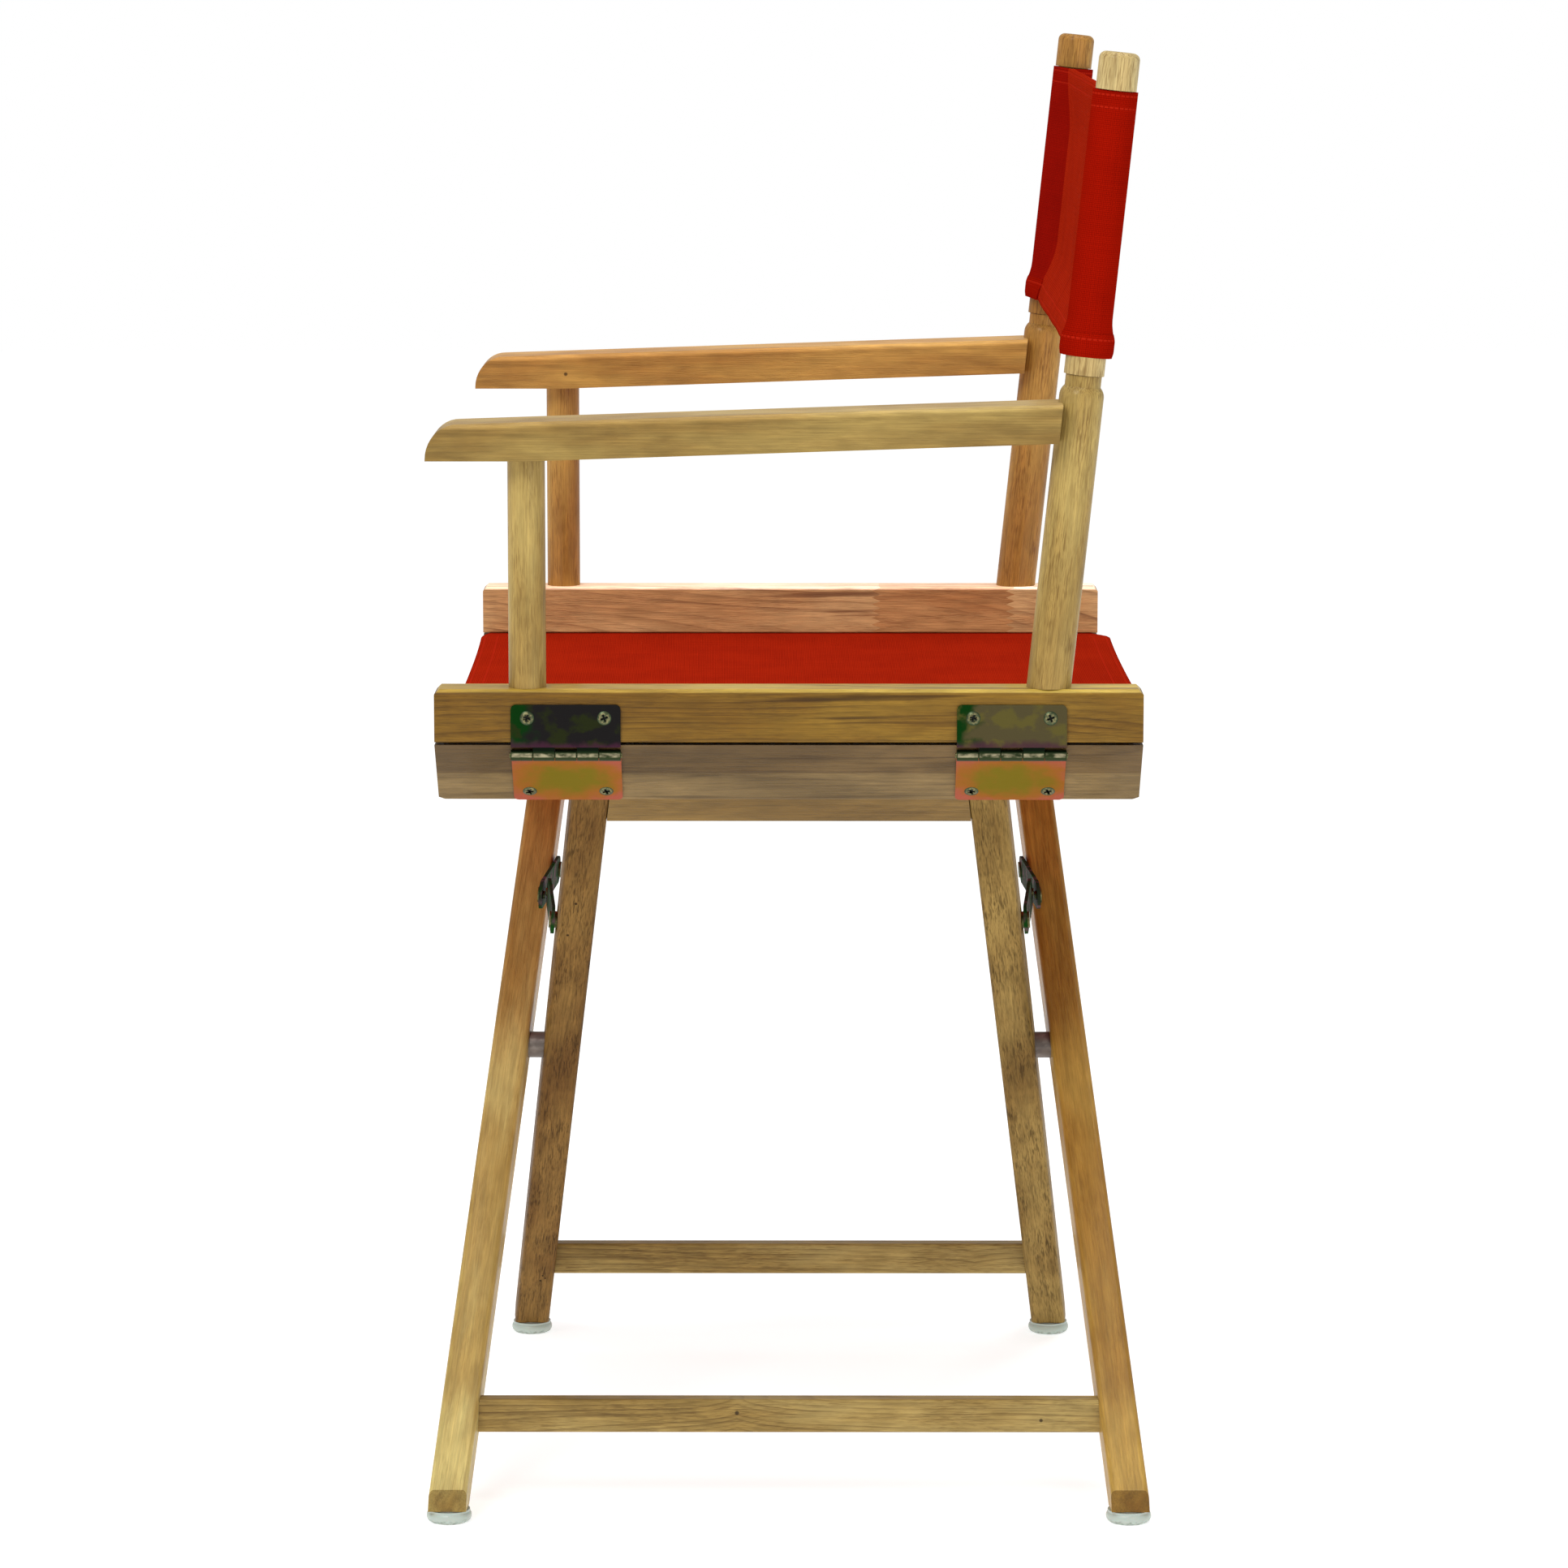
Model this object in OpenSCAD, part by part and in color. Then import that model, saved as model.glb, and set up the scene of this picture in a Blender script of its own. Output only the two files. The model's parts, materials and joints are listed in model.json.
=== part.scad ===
// Folding director chair: two scissor leg frames, two side frames with arms, a slung seat and a slung back.
// Millimetres. +Z is up, the sitter faces -Y, and +X is the sitter's left. The floor is z = 0.
// The inner leg frame carries the left side frame and the outer leg frame carries the right one.

/* [Overall] */
// Length of the seat rails and hinge rails, front to back
rail_len = 400; // [360:5:440]
// Clear distance between the two seat rails
seat_span = 481; // [430:1:560]
// Height of the scissor pivots above the floor
pivot_z = 237.4; // [215:0.1:262]
// Lean of each open leg frame from vertical, in degrees
leg_tilt = 45.8; // [43:0.1:48.5]

/* [Leg frames] */
// Width of a leg across the chair's depth
leg_w = 22; // [18:0.5:24]
// Thickness of a leg square to its frame
leg_t = 24; // [20:0.5:27]
// Rounding of the legs' long edges
leg_round = 3; // [1:0.1:4]
// Distance of the inner legs' middles from the middle of the chair, at the pivot
inner_leg_y = 140.3; // [120:0.1:142]
// Gap between an inner leg and an outer one, at the pivot
leg_gap = 8.7; // [8.2:0.1:16]
// Splay of the outer legs, in degrees
outer_splay = 4.75; // [3:0.01:6]
// Splay of the inner legs, in degrees
inner_splay = 5.35; // [4:0.01:6]
// Height of the upright cut on the toe of each leg
toe_h = 12.9; // [6:0.1:16]
// Thickness of a hinge rail
hinge_rail_t = 14; // [10:0.5:18]
// Height of a hinge rail below the hinge axis, along the leg
hinge_rail_drop = 48; // [38:0.1:60]
// Height of a cross rail, along the leg
cross_rail_h = 49; // [30:1:56]
// Thickness of a cross rail
cross_rail_t = 18; // [10:0.5:20]
// How far a cross rail shows below its hinge rail
cross_rail_show = 41.4; // [20:0.5:44]
// Height of a stretcher bar
stretcher_h = 20; // [14:0.5:22]
// Thickness of a stretcher bar
stretcher_t = 12; // [8:0.5:13]
// Height of the outer stretcher's middle above the floor
outer_stretcher_z = 53.4; // [48:0.1:80]
// Height of the inner stretcher's middle above the floor
inner_stretcher_z = 61.2; // [48:0.1:90]
// Diameter of the round tenons on stretchers and cross rails
bar_tenon_d = 9; // [6:0.5:10]

/* [Glides] */
// Diameter of a foot glide
glide_d = 26.4; // [20:0.2:26.8]
// Height of a foot glide
glide_h = 8; // [5:0.5:12]

/* [Side frames] */
// Thickness of a seat rail
rail_t = 28; // [24:0.5:34]
// Height of a seat rail
rail_h = 30; // [26:0.5:40]
// Diameter of the front arm post
front_post_d = 21.2; // [16:0.2:24]
// Distance of the front arm posts in front of the middle
front_post_y = 147.8; // [120:0.2:170]
// Diameter of the back post
back_post_d = 25.2; // [20:0.2:28]
// Distance of the back posts behind the middle, at the top of the rail
back_post_y = 147; // [120:0.2:165]
// Backward lean of the back posts, in degrees
back_lean = 6; // [3:0.1:10]
// Height of the back post's top above the rail, along the post
back_post_h = 177.4; // [165:0.1:220]
// Diameter of the tenons on the posts
post_tenon_d = 14; // [10:0.5:15]

/* [Arms] */
// Width of an armrest
arm_w = 43.5; // [30:0.5:46]
// Thickness of an armrest
arm_t = 20.5; // [16:0.5:26]
// Height of the armrest's underside above the seat rail, at the front post
arm_z = 129.7; // [115:0.1:150]
// Rise of the armrest towards the back, in degrees
arm_rise = 1.9; // [0:0.1:4]
// How far the armrest runs out in front of the front post's middle
arm_nose = 55.7; // [30:0.1:70]

/* [Back sticks and covers] */
// Length of a back stick from its parting line to its cap, along the stick
stick_len = 180.5; // [165:0.5:240]
// Diameter of the stick inside the sleeve
stick_d = 19; // [14:0.5:20]
// Diameter of the turned ring at the foot of the stick
ring_d = 22.8; // [20:0.2:25]
// Diameter of the cap on top of the stick
cap_d = 23; // [20:0.2:25]
// Height of the back cover
back_cover_h = 148; // [120:0.5:150]
// Width of the sleeve's loop around the stick
sleeve_d = 29; // [25:0.5:34]
// Depth of the seat cover, front to back
seat_cover_len = 408; // [360:1:440]
// Thickness of the cover's stand-in solids
cover_t = 3; // [2:0.5:5]
// Sag of the seat in the middle
seat_sag = 10; // [0:1:20]

/* [Hinges] */
// Width of a hinge along the rail
hinge_w = 62; // [50:1:76]
// Distance of the hinges from the middle
hinge_y = 125.8; // [100:0.1:135]
// Thickness of a hinge leaf
leaf_t = 1.5; // [1:0.1:2]
// Radius of the hinge barrel
barrel_r = 3.2; // [2.8:0.1:4]
// Radius of the hinge pin
hinge_pin_r = 1.5; // [1:0.1:1.8]
// Length of the upper leaf above the hinge axis
upper_leaf = 29.2; // [26:0.1:34]
// Length of the lower leaf below the hinge axis
lower_leaf = 45.8; // [32:0.1:46.5]
// Distance between the two screws of a leaf
screw_pitch = 43.6; // [30:0.1:48]

/* [Pivots and stays] */
// Diameter of the scissor pivot bolts
bolt_d = 8; // [6:0.5:10]
// Diameter of the spacer between the legs
spacer_d = 16; // [13:0.5:20]
// Height of the stays above the scissor pivots
stay_rise = 94.6; // [80:0.1:108]
// Width of a stay link
link_w = 17; // [12:0.5:18]
// Thickness of a stay link
link_t = 2; // [1.5:0.1:2.2]

/* [Hidden] */
$fn = 48;
// Clearances: parts that turn, parts that are glued or driven in, and faces that slide past each other
turn_gap = 0.06;
fit_gap = 0.05;
face_gap = 0.3;
// Gap between a seat rail and the hinge rail under it, and depth of the hinge axis below the seat rail
rail_gap = 1.5;
axis_drop = 7.5;
// A length that reaches past the whole chair, for cuts
far = 1200;

// How far the leg tops end below the seat rails
leg_top_drop = 8;
// The groove for the seat cover's dowel: its radius, its wall on the inner side, its place and its slot
groove_r = 4.9;
groove_wall = 3.4;
groove_up = 10.5;
slot_w = 2.6;
slot_in = 0.8;

// Hinge axis, from the seat rails' place
rail_in_x = seat_span / 2;
rail_out_x = rail_in_x + rail_t;
axis_x = rail_out_x + leaf_t - barrel_r;
axis_n = leg_t / 2 + hinge_rail_t + barrel_r + face_gap;
axis_s = (axis_x - axis_n * cos(leg_tilt)) / sin(leg_tilt);
axis_z = pivot_z + axis_s * cos(leg_tilt) - axis_n * sin(leg_tilt);
rail_z = axis_z + axis_drop;
rail_top = rail_z + rail_h;
post_x = rail_in_x + rail_t / 2;
hinge_rail_s = axis_s - hinge_rail_drop;
cross_rail_s = hinge_rail_s - cross_rail_show;
// Leg tops are cut level, below the seat cover
leg_top_z = rail_z - leg_top_drop;
// The toe's upright cut and the flat under the leg set the glide's place
toe_s = (pivot_z + leg_t / 2 * sin(leg_tilt) - glide_h - toe_h) / cos(leg_tilt);
toe_x = toe_s * sin(leg_tilt) + leg_t / 2 * cos(leg_tilt);
heel_s = (pivot_z - leg_t / 2 * sin(leg_tilt) - glide_h) / cos(leg_tilt);
heel_x = heel_s * sin(leg_tilt) - leg_t / 2 * cos(leg_tilt);
glide_x = (toe_x + heel_x) / 2;
outer_leg_y = inner_leg_y + leg_w + leg_gap;
// How far the cross rails lie below the legs' outer faces
cross_rail_in = 0.5;
cross_n = leg_t / 2 - cross_rail_t / 2 - cross_rail_in;
cross_s = cross_rail_s + cross_rail_h / 2;
// The armrest's underside at the front post, its two ends, and the dowel in its rear end
arm_bottom = rail_top + arm_z;
arm_bite = 2;
arm_rear_y = back_post_y + arm_z * tan(back_lean) - back_post_d / 2 + arm_bite;
arm_front_y = -front_post_y - arm_nose;
arm_dowel_r = 4;
arm_dowel_len = 12;
arm_dowel_z = arm_bottom + (arm_rear_y + front_post_y) * tan(arm_rise) + arm_t / 2;
nose_len = 18;
// Screws: head, shank, crown and cross recess
screw_head_r = 4;
screw_r = 1.75;
screw_len = 14;
screw_crown = 0.6;
recess_w = 1.1;
recess_h = 1.4;
// Tenons and dowels
tenon_len = 12;
arm_tenon_len = 12;
tenon_room = 0.5;
stick_tenon_r = 6;
stick_tenon_len = 20;
dowel_r = 3.2;
dowel_in = 1;
groove_x = rail_in_x + groove_wall + groove_r;
groove_z = rail_z + groove_up;
stay_s = stay_rise / cos(leg_tilt);
stay_len = stay_s * sin(leg_tilt);
// Stays' rivets
rivet_r = 2.5;
rivet_head_r = 5;
rivet_head_t = 1.2;
// A link stands off its leg by this much, which leaves room for the head of its middle rivet
link_off = 1.5;
mid_head_t = 1;
mid_reach = 1;
rivet_len = 14;
// The scissor pivot's head, washer and nut follow the bolt, and their seats follow the legs' splayed faces
bolt_r = bolt_d / 2;
bolt_head_r = bolt_r + 4;
bolt_head_t = 3.2;
bolt_dome_r = 1.75 * bolt_head_r;
bolt_end = 0.8;
washer_r = bolt_r + 4.5;
washer_t = 1.2;
nut_t = 5;
nut_r = bolt_r + 3.4;
seat_cut = 0.3;
outer_seat_y = outer_leg_y + leg_w / 2 - bolt_head_r * tan(outer_splay) - bolt_head_t;
spacer_out_y = outer_leg_y - leg_w / 2 + spacer_d / 2 * tan(outer_splay) + seat_cut;
spacer_in_y = inner_leg_y + leg_w / 2 - spacer_d / 2 * tan(inner_splay) - seat_cut;
inner_seat_y = inner_leg_y - leg_w / 2 + washer_r * tan(inner_splay) + washer_t + nut_t + bolt_end + face_gap;
// The glide's nail and rounding
nail_r = 1.6;
nail_len = 18;
glide_edge = 3.6;
// Hinge knuckles, the height of the tabs that join them to the leaves, and the pin's length past the barrel
knuckles = 5;
upper_tab = barrel_r + 1.7;
lower_tab = barrel_r + face_gap + 0.2;
leaf_corner = 3;
pin_end = 0.8;
// Screws' distance from the free edge of each leaf
lower_screw_in = 8.3;
upper_screw_in = 7.6;
recess_turn = 20;
sleeve_gap = 0.5;
// Rounding of the seat rail's outer top edge, the arms' top edges, and every other long edge
rail_round = 4.5;
arm_round = 3;
edge_round = 1.2;
// Cuts on the ends of a hinge rail and a seat rail
end_cut = 5;
rail_chamfer = 4;
// The back post's rounded shoulder and its neck, and the stick's ring and cap
shoulder = 8;
neck = 4;
neck_in = 1.2;
ring_h = 10.6;
cap_h = 21;
cap_round = 4;
seat_cover_z = rail_z - 0.6;
sag_steps = 10;

wood_pale = [0.80, 0.66, 0.42];
wood_tan = [0.74, 0.56, 0.33];
wood_dark = [0.55, 0.44, 0.27];
canvas_red = [0.72, 0.08, 0.03];
zinc_gold = [0.66, 0.55, 0.22];
zinc_dark = [0.20, 0.24, 0.17];
steel = [0.62, 0.62, 0.60];
plastic_pale = [0.78, 0.80, 0.77];

// ---- Places ----

// side is 1 for what the left (+X) side frame stands on, and -1 for the right
module on_side(side) {
    if (side > 0) children();
    else mirror([1, 0, 0]) children();
}

// fore is -1 for the front and 1 for the rear
module at_end(fore) {
    if (fore > 0) children();
    else mirror([0, 1, 0]) children();
}

// A leg frame's own space: X square to the frame (outwards and down), Z up along it, origin at the pivot
module frame_space(side) {
    on_side(side) translate([0, 0, pivot_z]) rotate([0, leg_tilt, 0]) children();
}

function leg_y(side) = side > 0 ? inner_leg_y : outer_leg_y;
function splay(side) = side > 0 ? inner_splay : outer_splay;
function leg_y_at(side, s) = leg_y(side) - s * tan(splay(side));

// A rear leg's own space: Z along the leg's middle, Y across it, origin at the pivot
module leg_space(side, fore) {
    frame_space(side) at_end(fore) translate([0, leg_y(side), 0]) rotate([splay(side), 0, 0]) children();
}

// The back post's own space: Z up along the leaning post, origin on top of the rail
module back_space(side) {
    on_side(side) translate([post_x, back_post_y, rail_top]) rotate([-back_lean, 0, 0]) children();
}

// The hinge's own space, with its pin along Y
module hinge_space(side, fore) {
    on_side(side) translate([axis_x, fore * hinge_y, axis_z]) children();
}

// ---- Shapes ----

module rounded_rect(w, h, r) {
    square([w - 2 * r, h], center = true);
    square([w, h - 2 * r], center = true);
    for (i = [-1, 1], j = [-1, 1]) translate([i * (w / 2 - r), j * (h / 2 - r)]) circle(r = r);
}

// What comes off a square corner at the origin, that points to +X and +Y, to round it
module corner_off(r) {
    translate([-r, -r]) difference() {
        square([r + 1, r + 1]);
        circle(r = r);
    }
}

// A cylinder along Y, from y0 to y1
module rod_y(r, y0, y1) {
    translate([0, y0, 0]) rotate([-90, 0, 0]) cylinder(r = r, h = y1 - y0);
}

// A leg's full length as a square bar, for cutting other pieces to meet it
module leg_blank(side, fore) {
    leg_space(side, fore) translate([-leg_t / 2, -leg_w / 2, -far / 2]) cube([leg_t, leg_w, far]);
}

// ---- Leg frames ----

// Height of a stretcher's middle, and its distance out from the middle of the chair
function bar_z(side) = side > 0 ? inner_stretcher_z : outer_stretcher_z;
function bar_x(side) = (pivot_z - bar_z(side)) * tan(leg_tilt);
function bar_s(side) = (bar_z(side) - pivot_z) / cos(leg_tilt);

module leg(side, fore) {
    difference() {
        leg_space(side, fore) translate([0, 0, -far / 2])
            linear_extrude(far) rounded_rect(leg_t, leg_w, leg_round);
        translate([-far, -far, glide_h - far]) cube([2 * far, 2 * far, far]);
        translate([-far, -far, leg_top_z]) cube([2 * far, 2 * far, far]);
        on_side(-side) translate([toe_x, -far, -far]) cube([far, 2 * far, 2 * far]);
        leg_holes(side, fore);
    }
}

// Holes for the pivot bolt, the tenons, the glide's nail and the stay's rivet
module leg_holes(side, fore) {
    at_end(fore) translate([0, 0, pivot_z]) pivot_cuts(side);
    at_end(fore) on_side(-side) translate([bar_x(side), 0, bar_z(side)])
        rod_y(bar_tenon_d / 2 + fit_gap, 0, leg_y_at(side, bar_s(side)) + tenon_room);
    at_end(fore) frame_space(side) translate([cross_n, 0, cross_s])
        rod_y(bar_tenon_d / 2 + fit_gap, 0, leg_y_at(side, cross_s) + tenon_room);
    at_end(fore) on_side(-side) translate([glide_x, leg_y_at(side, -toe_s), 0])
        cylinder(r = nail_r + fit_gap, h = glide_h + nail_len + tenon_room);
    stay_space(side, fore) rod_y(rivet_r + fit_gap, -rivet_len - tenon_room, leg_w);
}

// The bolt's hole and the flat seats cut for the bolt's head, the spacer, the washer and the nut
module pivot_cuts(side) {
    rod_y(bolt_r + turn_gap, 0, far / 4);
    if (side < 0) {
        rod_y(bolt_head_r + face_gap, outer_seat_y, far / 4);
        rod_y(spacer_d / 2 + face_gap, 0, spacer_out_y);
    } else {
        rod_y(spacer_d / 2 + face_gap, spacer_in_y, far / 4);
        rod_y(washer_r + face_gap, 0, inner_seat_y);
    }
}

module hinge_rail(side) {
    difference() {
        frame_space(side) translate([leg_t / 2, rail_len / 2, hinge_rail_s]) rotate([90, 0, 0])
            linear_extrude(rail_len) difference() {
                square([hinge_rail_t, far / 4]);
                mirror([1, 0]) mirror([0, 1]) corner_off(edge_round);
                translate([hinge_rail_t, 0]) mirror([0, 1]) corner_off(edge_round);
            }
        // The lower corners of the ends are taken off
        for (fore = [-1, 1]) frame_space(side) at_end(fore) translate([0, rail_len / 2, hinge_rail_s])
            rotate([-60, 0, 0]) cube([far, end_cut, 2 * end_cut], center = true);
        translate([-far, -far, rail_z - rail_gap]) cube([2 * far, 2 * far, far]);
        for (fore = [-1, 1]) lower_screw_places(side, fore) screw_hole();
    }
}

module cross_rail(side) {
    span = 2 * leg_y_at(side, cross_s);
    difference() {
        frame_space(side) translate([cross_n - cross_rail_t / 2, -span / 2, cross_rail_s])
            cube([cross_rail_t, span, cross_rail_h]);
        for (fore = [-1, 1]) leg_blank(side, fore);
    }
    frame_space(side) translate([cross_n, 0, cross_s])
        rod_y(bar_tenon_d / 2, -span / 2, span / 2);
}

module stretcher(side) {
    span = 2 * leg_y_at(side, bar_s(side));
    difference() {
        on_side(-side) translate([bar_x(side), span / 2, bar_z(side)]) rotate([90, 0, 0])
            linear_extrude(span) rounded_rect(stretcher_t, stretcher_h, 2);
        for (fore = [-1, 1]) leg_blank(side, fore);
    }
    on_side(-side) translate([bar_x(side), 0, bar_z(side)])
        rod_y(bar_tenon_d / 2, -span / 2, span / 2);
}

// A nail-on glide: a domed disc with a flat sole, and its nail
module glide() {
    rotate_extrude() {
        square([glide_d / 2 - glide_edge, glide_h - fit_gap]);
        translate([0, glide_edge]) square([glide_d / 2 - 1, glide_h - glide_edge - fit_gap - 0.6]);
        translate([glide_d / 2 - glide_edge, glide_edge]) circle(r = glide_edge);
    }
    cylinder(r = nail_r, h = glide_h + nail_len);
}

module glides(side) {
    for (fore = [-1, 1])
        on_side(-side) translate([glide_x, fore * leg_y_at(side, -toe_s), 0]) glide();
}

// ---- Scissor pivots ----

module pivot_bolt() {
    rod_y(bolt_r, inner_seat_y - washer_t - nut_t - face_gap - bolt_end, outer_seat_y + bolt_head_t / 2);
    translate([0, outer_seat_y, 0]) rotate([-90, 0, 0]) rotate_extrude() intersection() {
        square([bolt_head_r, bolt_head_t]);
        translate([0, bolt_head_t - bolt_dome_r]) circle(r = bolt_dome_r);
    }
}

module both_pivots() {
    for (fore = [-1, 1]) at_end(fore) translate([0, 0, pivot_z]) children();
}

module pivot_washer() {
    difference() {
        rod_y(washer_r, inner_seat_y - washer_t - face_gap / 2, inner_seat_y - face_gap / 2);
        rod_y(bolt_r + fit_gap, 0, far / 4);
    }
}

module pivot_nut() {
    y1 = inner_seat_y - washer_t - face_gap;
    difference() {
        translate([0, y1 - nut_t, 0]) rotate([-90, 0, 0]) cylinder(r = nut_r, h = nut_t, $fn = 6);
        rod_y(bolt_r + fit_gap, 0, far / 4);
    }
}

module pivot_spacer() {
    difference() {
        rod_y(spacer_d / 2, spacer_in_y + face_gap / 2, spacer_out_y - fit_gap);
        rod_y(bolt_r + fit_gap, 0, far / 4);
    }
}

// ---- Hinges ----

// Where the screws go, with Z out of the wood and the origin on the wood's face
module lower_screw_places(side, fore) {
    frame_space(side)
        for (i = [-1, 1])
            translate([leg_t / 2 + hinge_rail_t, fore * hinge_y + i * screw_pitch / 2, axis_s - lower_leaf + lower_screw_in])
                rotate([0, 90, 0]) children();
}

module upper_screw_places(side, fore) {
    on_side(side)
        for (i = [-1, 1])
            translate([rail_out_x, fore * hinge_y + i * screw_pitch / 2, axis_z + upper_leaf - upper_screw_in])
                rotate([0, 90, 0]) children();
}

// A countersunk screw with a cross recess, its head's face level with the leaf's
module screw() {
    difference() {
        union() {
            translate([0, 0, leaf_t - screw_head_r + screw_r])
                cylinder(r1 = screw_r, r2 = screw_head_r, h = screw_head_r - screw_r);
            translate([0, 0, leaf_t]) cylinder(r1 = screw_head_r, r2 = screw_head_r - 2 * screw_crown, h = screw_crown);
            translate([0, 0, leaf_t - screw_len]) cylinder(r = screw_r, h = screw_len - 1);
        }
        for (a = [0, 90]) rotate([0, 0, recess_turn + a]) translate([-recess_w * 2, -recess_w / 2, leaf_t - recess_h])
            cube([recess_w * 4, recess_w, far]);
    }
}

module screw_hole() {
    translate([0, 0, leaf_t - screw_head_r + screw_r])
        cylinder(r1 = screw_r + fit_gap, r2 = screw_head_r + fit_gap, h = screw_head_r - screw_r);
    translate([0, 0, leaf_t - screw_len - tenon_room]) cylinder(r = screw_r + fit_gap, h = screw_len);
}

module lower_screws(side) {
    for (fore = [-1, 1]) lower_screw_places(side, fore) screw();
}

module upper_screws(side) {
    for (fore = [-1, 1]) upper_screw_places(side, fore) screw();
}

// A leaf's knuckles: those with the same evenness as first, each with its tab up to the leaf
module knuckle_row(first, tab_from, tab_to, tab_top) {
    pitch = hinge_w / knuckles;
    for (k = [first:2:knuckles - 1]) {
        y0 = -hinge_w / 2 + k * pitch + (k > 0 ? face_gap / 2 : 0);
        y1 = -hinge_w / 2 + (k + 1) * pitch - (k < knuckles - 1 ? face_gap / 2 : 0);
        difference() {
            union() {
                rod_y(barrel_r, y0, y1);
                translate([tab_from, y0, 0]) cube([tab_to - tab_from, y1 - y0, tab_top]);
            }
            rod_y(hinge_pin_r + turn_gap, y0 - 1, y1 + 1);
        }
    }
}

module leaf_plate(height) {
    flat_w = hinge_w - 2 * leaf_corner;
    rotate([90, 0, 90]) linear_extrude(leaf_t) {
        translate([-hinge_w / 2, 0]) square([hinge_w, height - leaf_corner]);
        translate([-flat_w / 2, 0]) square([flat_w, height]);
        for (i = [-1, 1]) translate([i * flat_w / 2, height - leaf_corner]) circle(r = leaf_corner);
    }
}

module upper_leaf_part(side, fore) {
    difference() {
        hinge_space(side, fore) {
            translate([rail_out_x - axis_x, 0, upper_tab]) leaf_plate(upper_leaf - upper_tab);
            knuckle_row(1, rail_out_x - axis_x, barrel_r, upper_tab);
        }
        upper_screw_places(side, fore) screw_hole();
    }
}

module lower_leaf_part(side, fore) {
    difference() {
        hinge_space(side, fore) rotate([0, leg_tilt, 0]) mirror([0, 0, 1]) {
            translate([-barrel_r - face_gap, 0, lower_tab]) leaf_plate(lower_leaf - lower_tab);
            knuckle_row(0, -barrel_r - face_gap, leaf_t - barrel_r - face_gap, lower_tab);
        }
        lower_screw_places(side, fore) screw_hole();
    }
}

module hinge_pins(side) {
    for (fore = [-1, 1]) hinge_space(side, fore)
        rod_y(hinge_pin_r, -hinge_w / 2 - pin_end, hinge_w / 2 + pin_end);
}

// ---- Side frames ----

module seat_rail(side) {
    difference() {
        on_side(side) translate([rail_in_x, rail_len / 2, rail_z]) rotate([90, 0, 0])
            linear_extrude(rail_len) difference() {
                square([rail_t, rail_h]);
                translate([rail_t, rail_h]) corner_off(rail_round);
                translate([0, rail_h]) mirror([1, 0]) corner_off(edge_round);
                translate([rail_t, 0]) mirror([0, 1]) corner_off(edge_round);
                mirror([1, 0]) mirror([0, 1]) corner_off(edge_round);
            }
        // The groove for the seat cover's dowel, and the slot that lets the cover out
        on_side(side) translate([groove_x, 0, groove_z]) rod_y(groove_r, -rail_len, rail_len);
        on_side(side) translate([groove_x - groove_r + slot_in, -rail_len, rail_z - 1])
            cube([slot_w, 2 * rail_len, groove_z - rail_z]);
        // Sloped ends
        for (fore = [-1, 1]) at_end(fore) translate([0, rail_len / 2, rail_top]) rotate([45, 0, 0])
            cube([far, rail_chamfer, 2 * rail_chamfer], center = true);
        on_side(side) translate([post_x, -front_post_y, rail_top - tenon_len - tenon_room])
            cylinder(r = post_tenon_d / 2 + fit_gap, h = tenon_len + 2);
        back_space(side) translate([0, 0, -tenon_len - tenon_room])
            cylinder(r = post_tenon_d / 2 + fit_gap, h = tenon_len + 4);
        for (fore = [-1, 1]) upper_screw_places(side, fore) screw_hole();
    }
}

// Height of the armrest's underside at a place along the chair
function arm_under(y) = arm_bottom + (y + front_post_y) * tan(arm_rise);

module front_post(side) {
    on_side(side) translate([post_x, -front_post_y, 0]) {
        translate([0, 0, rail_top - tenon_len]) cylinder(r = post_tenon_d / 2, h = tenon_len + 1);
        difference() {
            translate([0, 0, rail_top]) cylinder(r = front_post_d / 2, h = arm_z + 10);
            translate([-far / 2, front_post_y, arm_bottom + front_post_y * tan(arm_rise)])
                rotate([arm_rise, 0, 0]) translate([0, -far / 2, 0]) cube([far, far, far]);
        }
        translate([0, 0, arm_bottom - 1]) cylinder(r = post_tenon_d / 2, h = arm_tenon_len + 1);
    }
}

// The lower back post: a tenon, a plain shaft, a rounded shoulder and a neck, bored for the stick
module back_post(side) {
    body_h = back_post_h - shoulder - neck;
    difference() {
        back_space(side) rotate_extrude() {
            translate([0, -tenon_len]) square([post_tenon_d / 2, tenon_len + body_h]);
            translate([0, -4]) square([back_post_d / 2, body_h + 4]);
            translate([0, body_h]) square([ring_d / 2 - neck_in, shoulder + neck]);
            intersection() {
                translate([back_post_d / 2 - shoulder, body_h]) circle(r = shoulder);
                translate([0, body_h]) square([back_post_d / 2, shoulder]);
            }
        }
        on_side(side) translate([-far / 2, -far / 2, rail_top - far])
            difference() {
                cube([far, far, far]);
                translate([far / 2, far / 2, far]) back_tenon_keep();
            }
        back_space(side) translate([0, 0, back_post_h - stick_tenon_len - tenon_room])
            cylinder(r = stick_tenon_r + turn_gap, h = far);
        armrest_end_hole(side);
    }
}

module back_tenon_keep() {
    translate([post_x, back_post_y, 0]) rotate([-back_lean, 0, 0]) translate([0, 0, -far / 2])
        cylinder(r = post_tenon_d / 2, h = far);
}

module armrest_end_hole(side) {
    on_side(side) translate([post_x, 0, arm_dowel_z])
        rod_y(arm_dowel_r + fit_gap, 0, arm_rear_y + back_post_d / 2);
}

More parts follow.
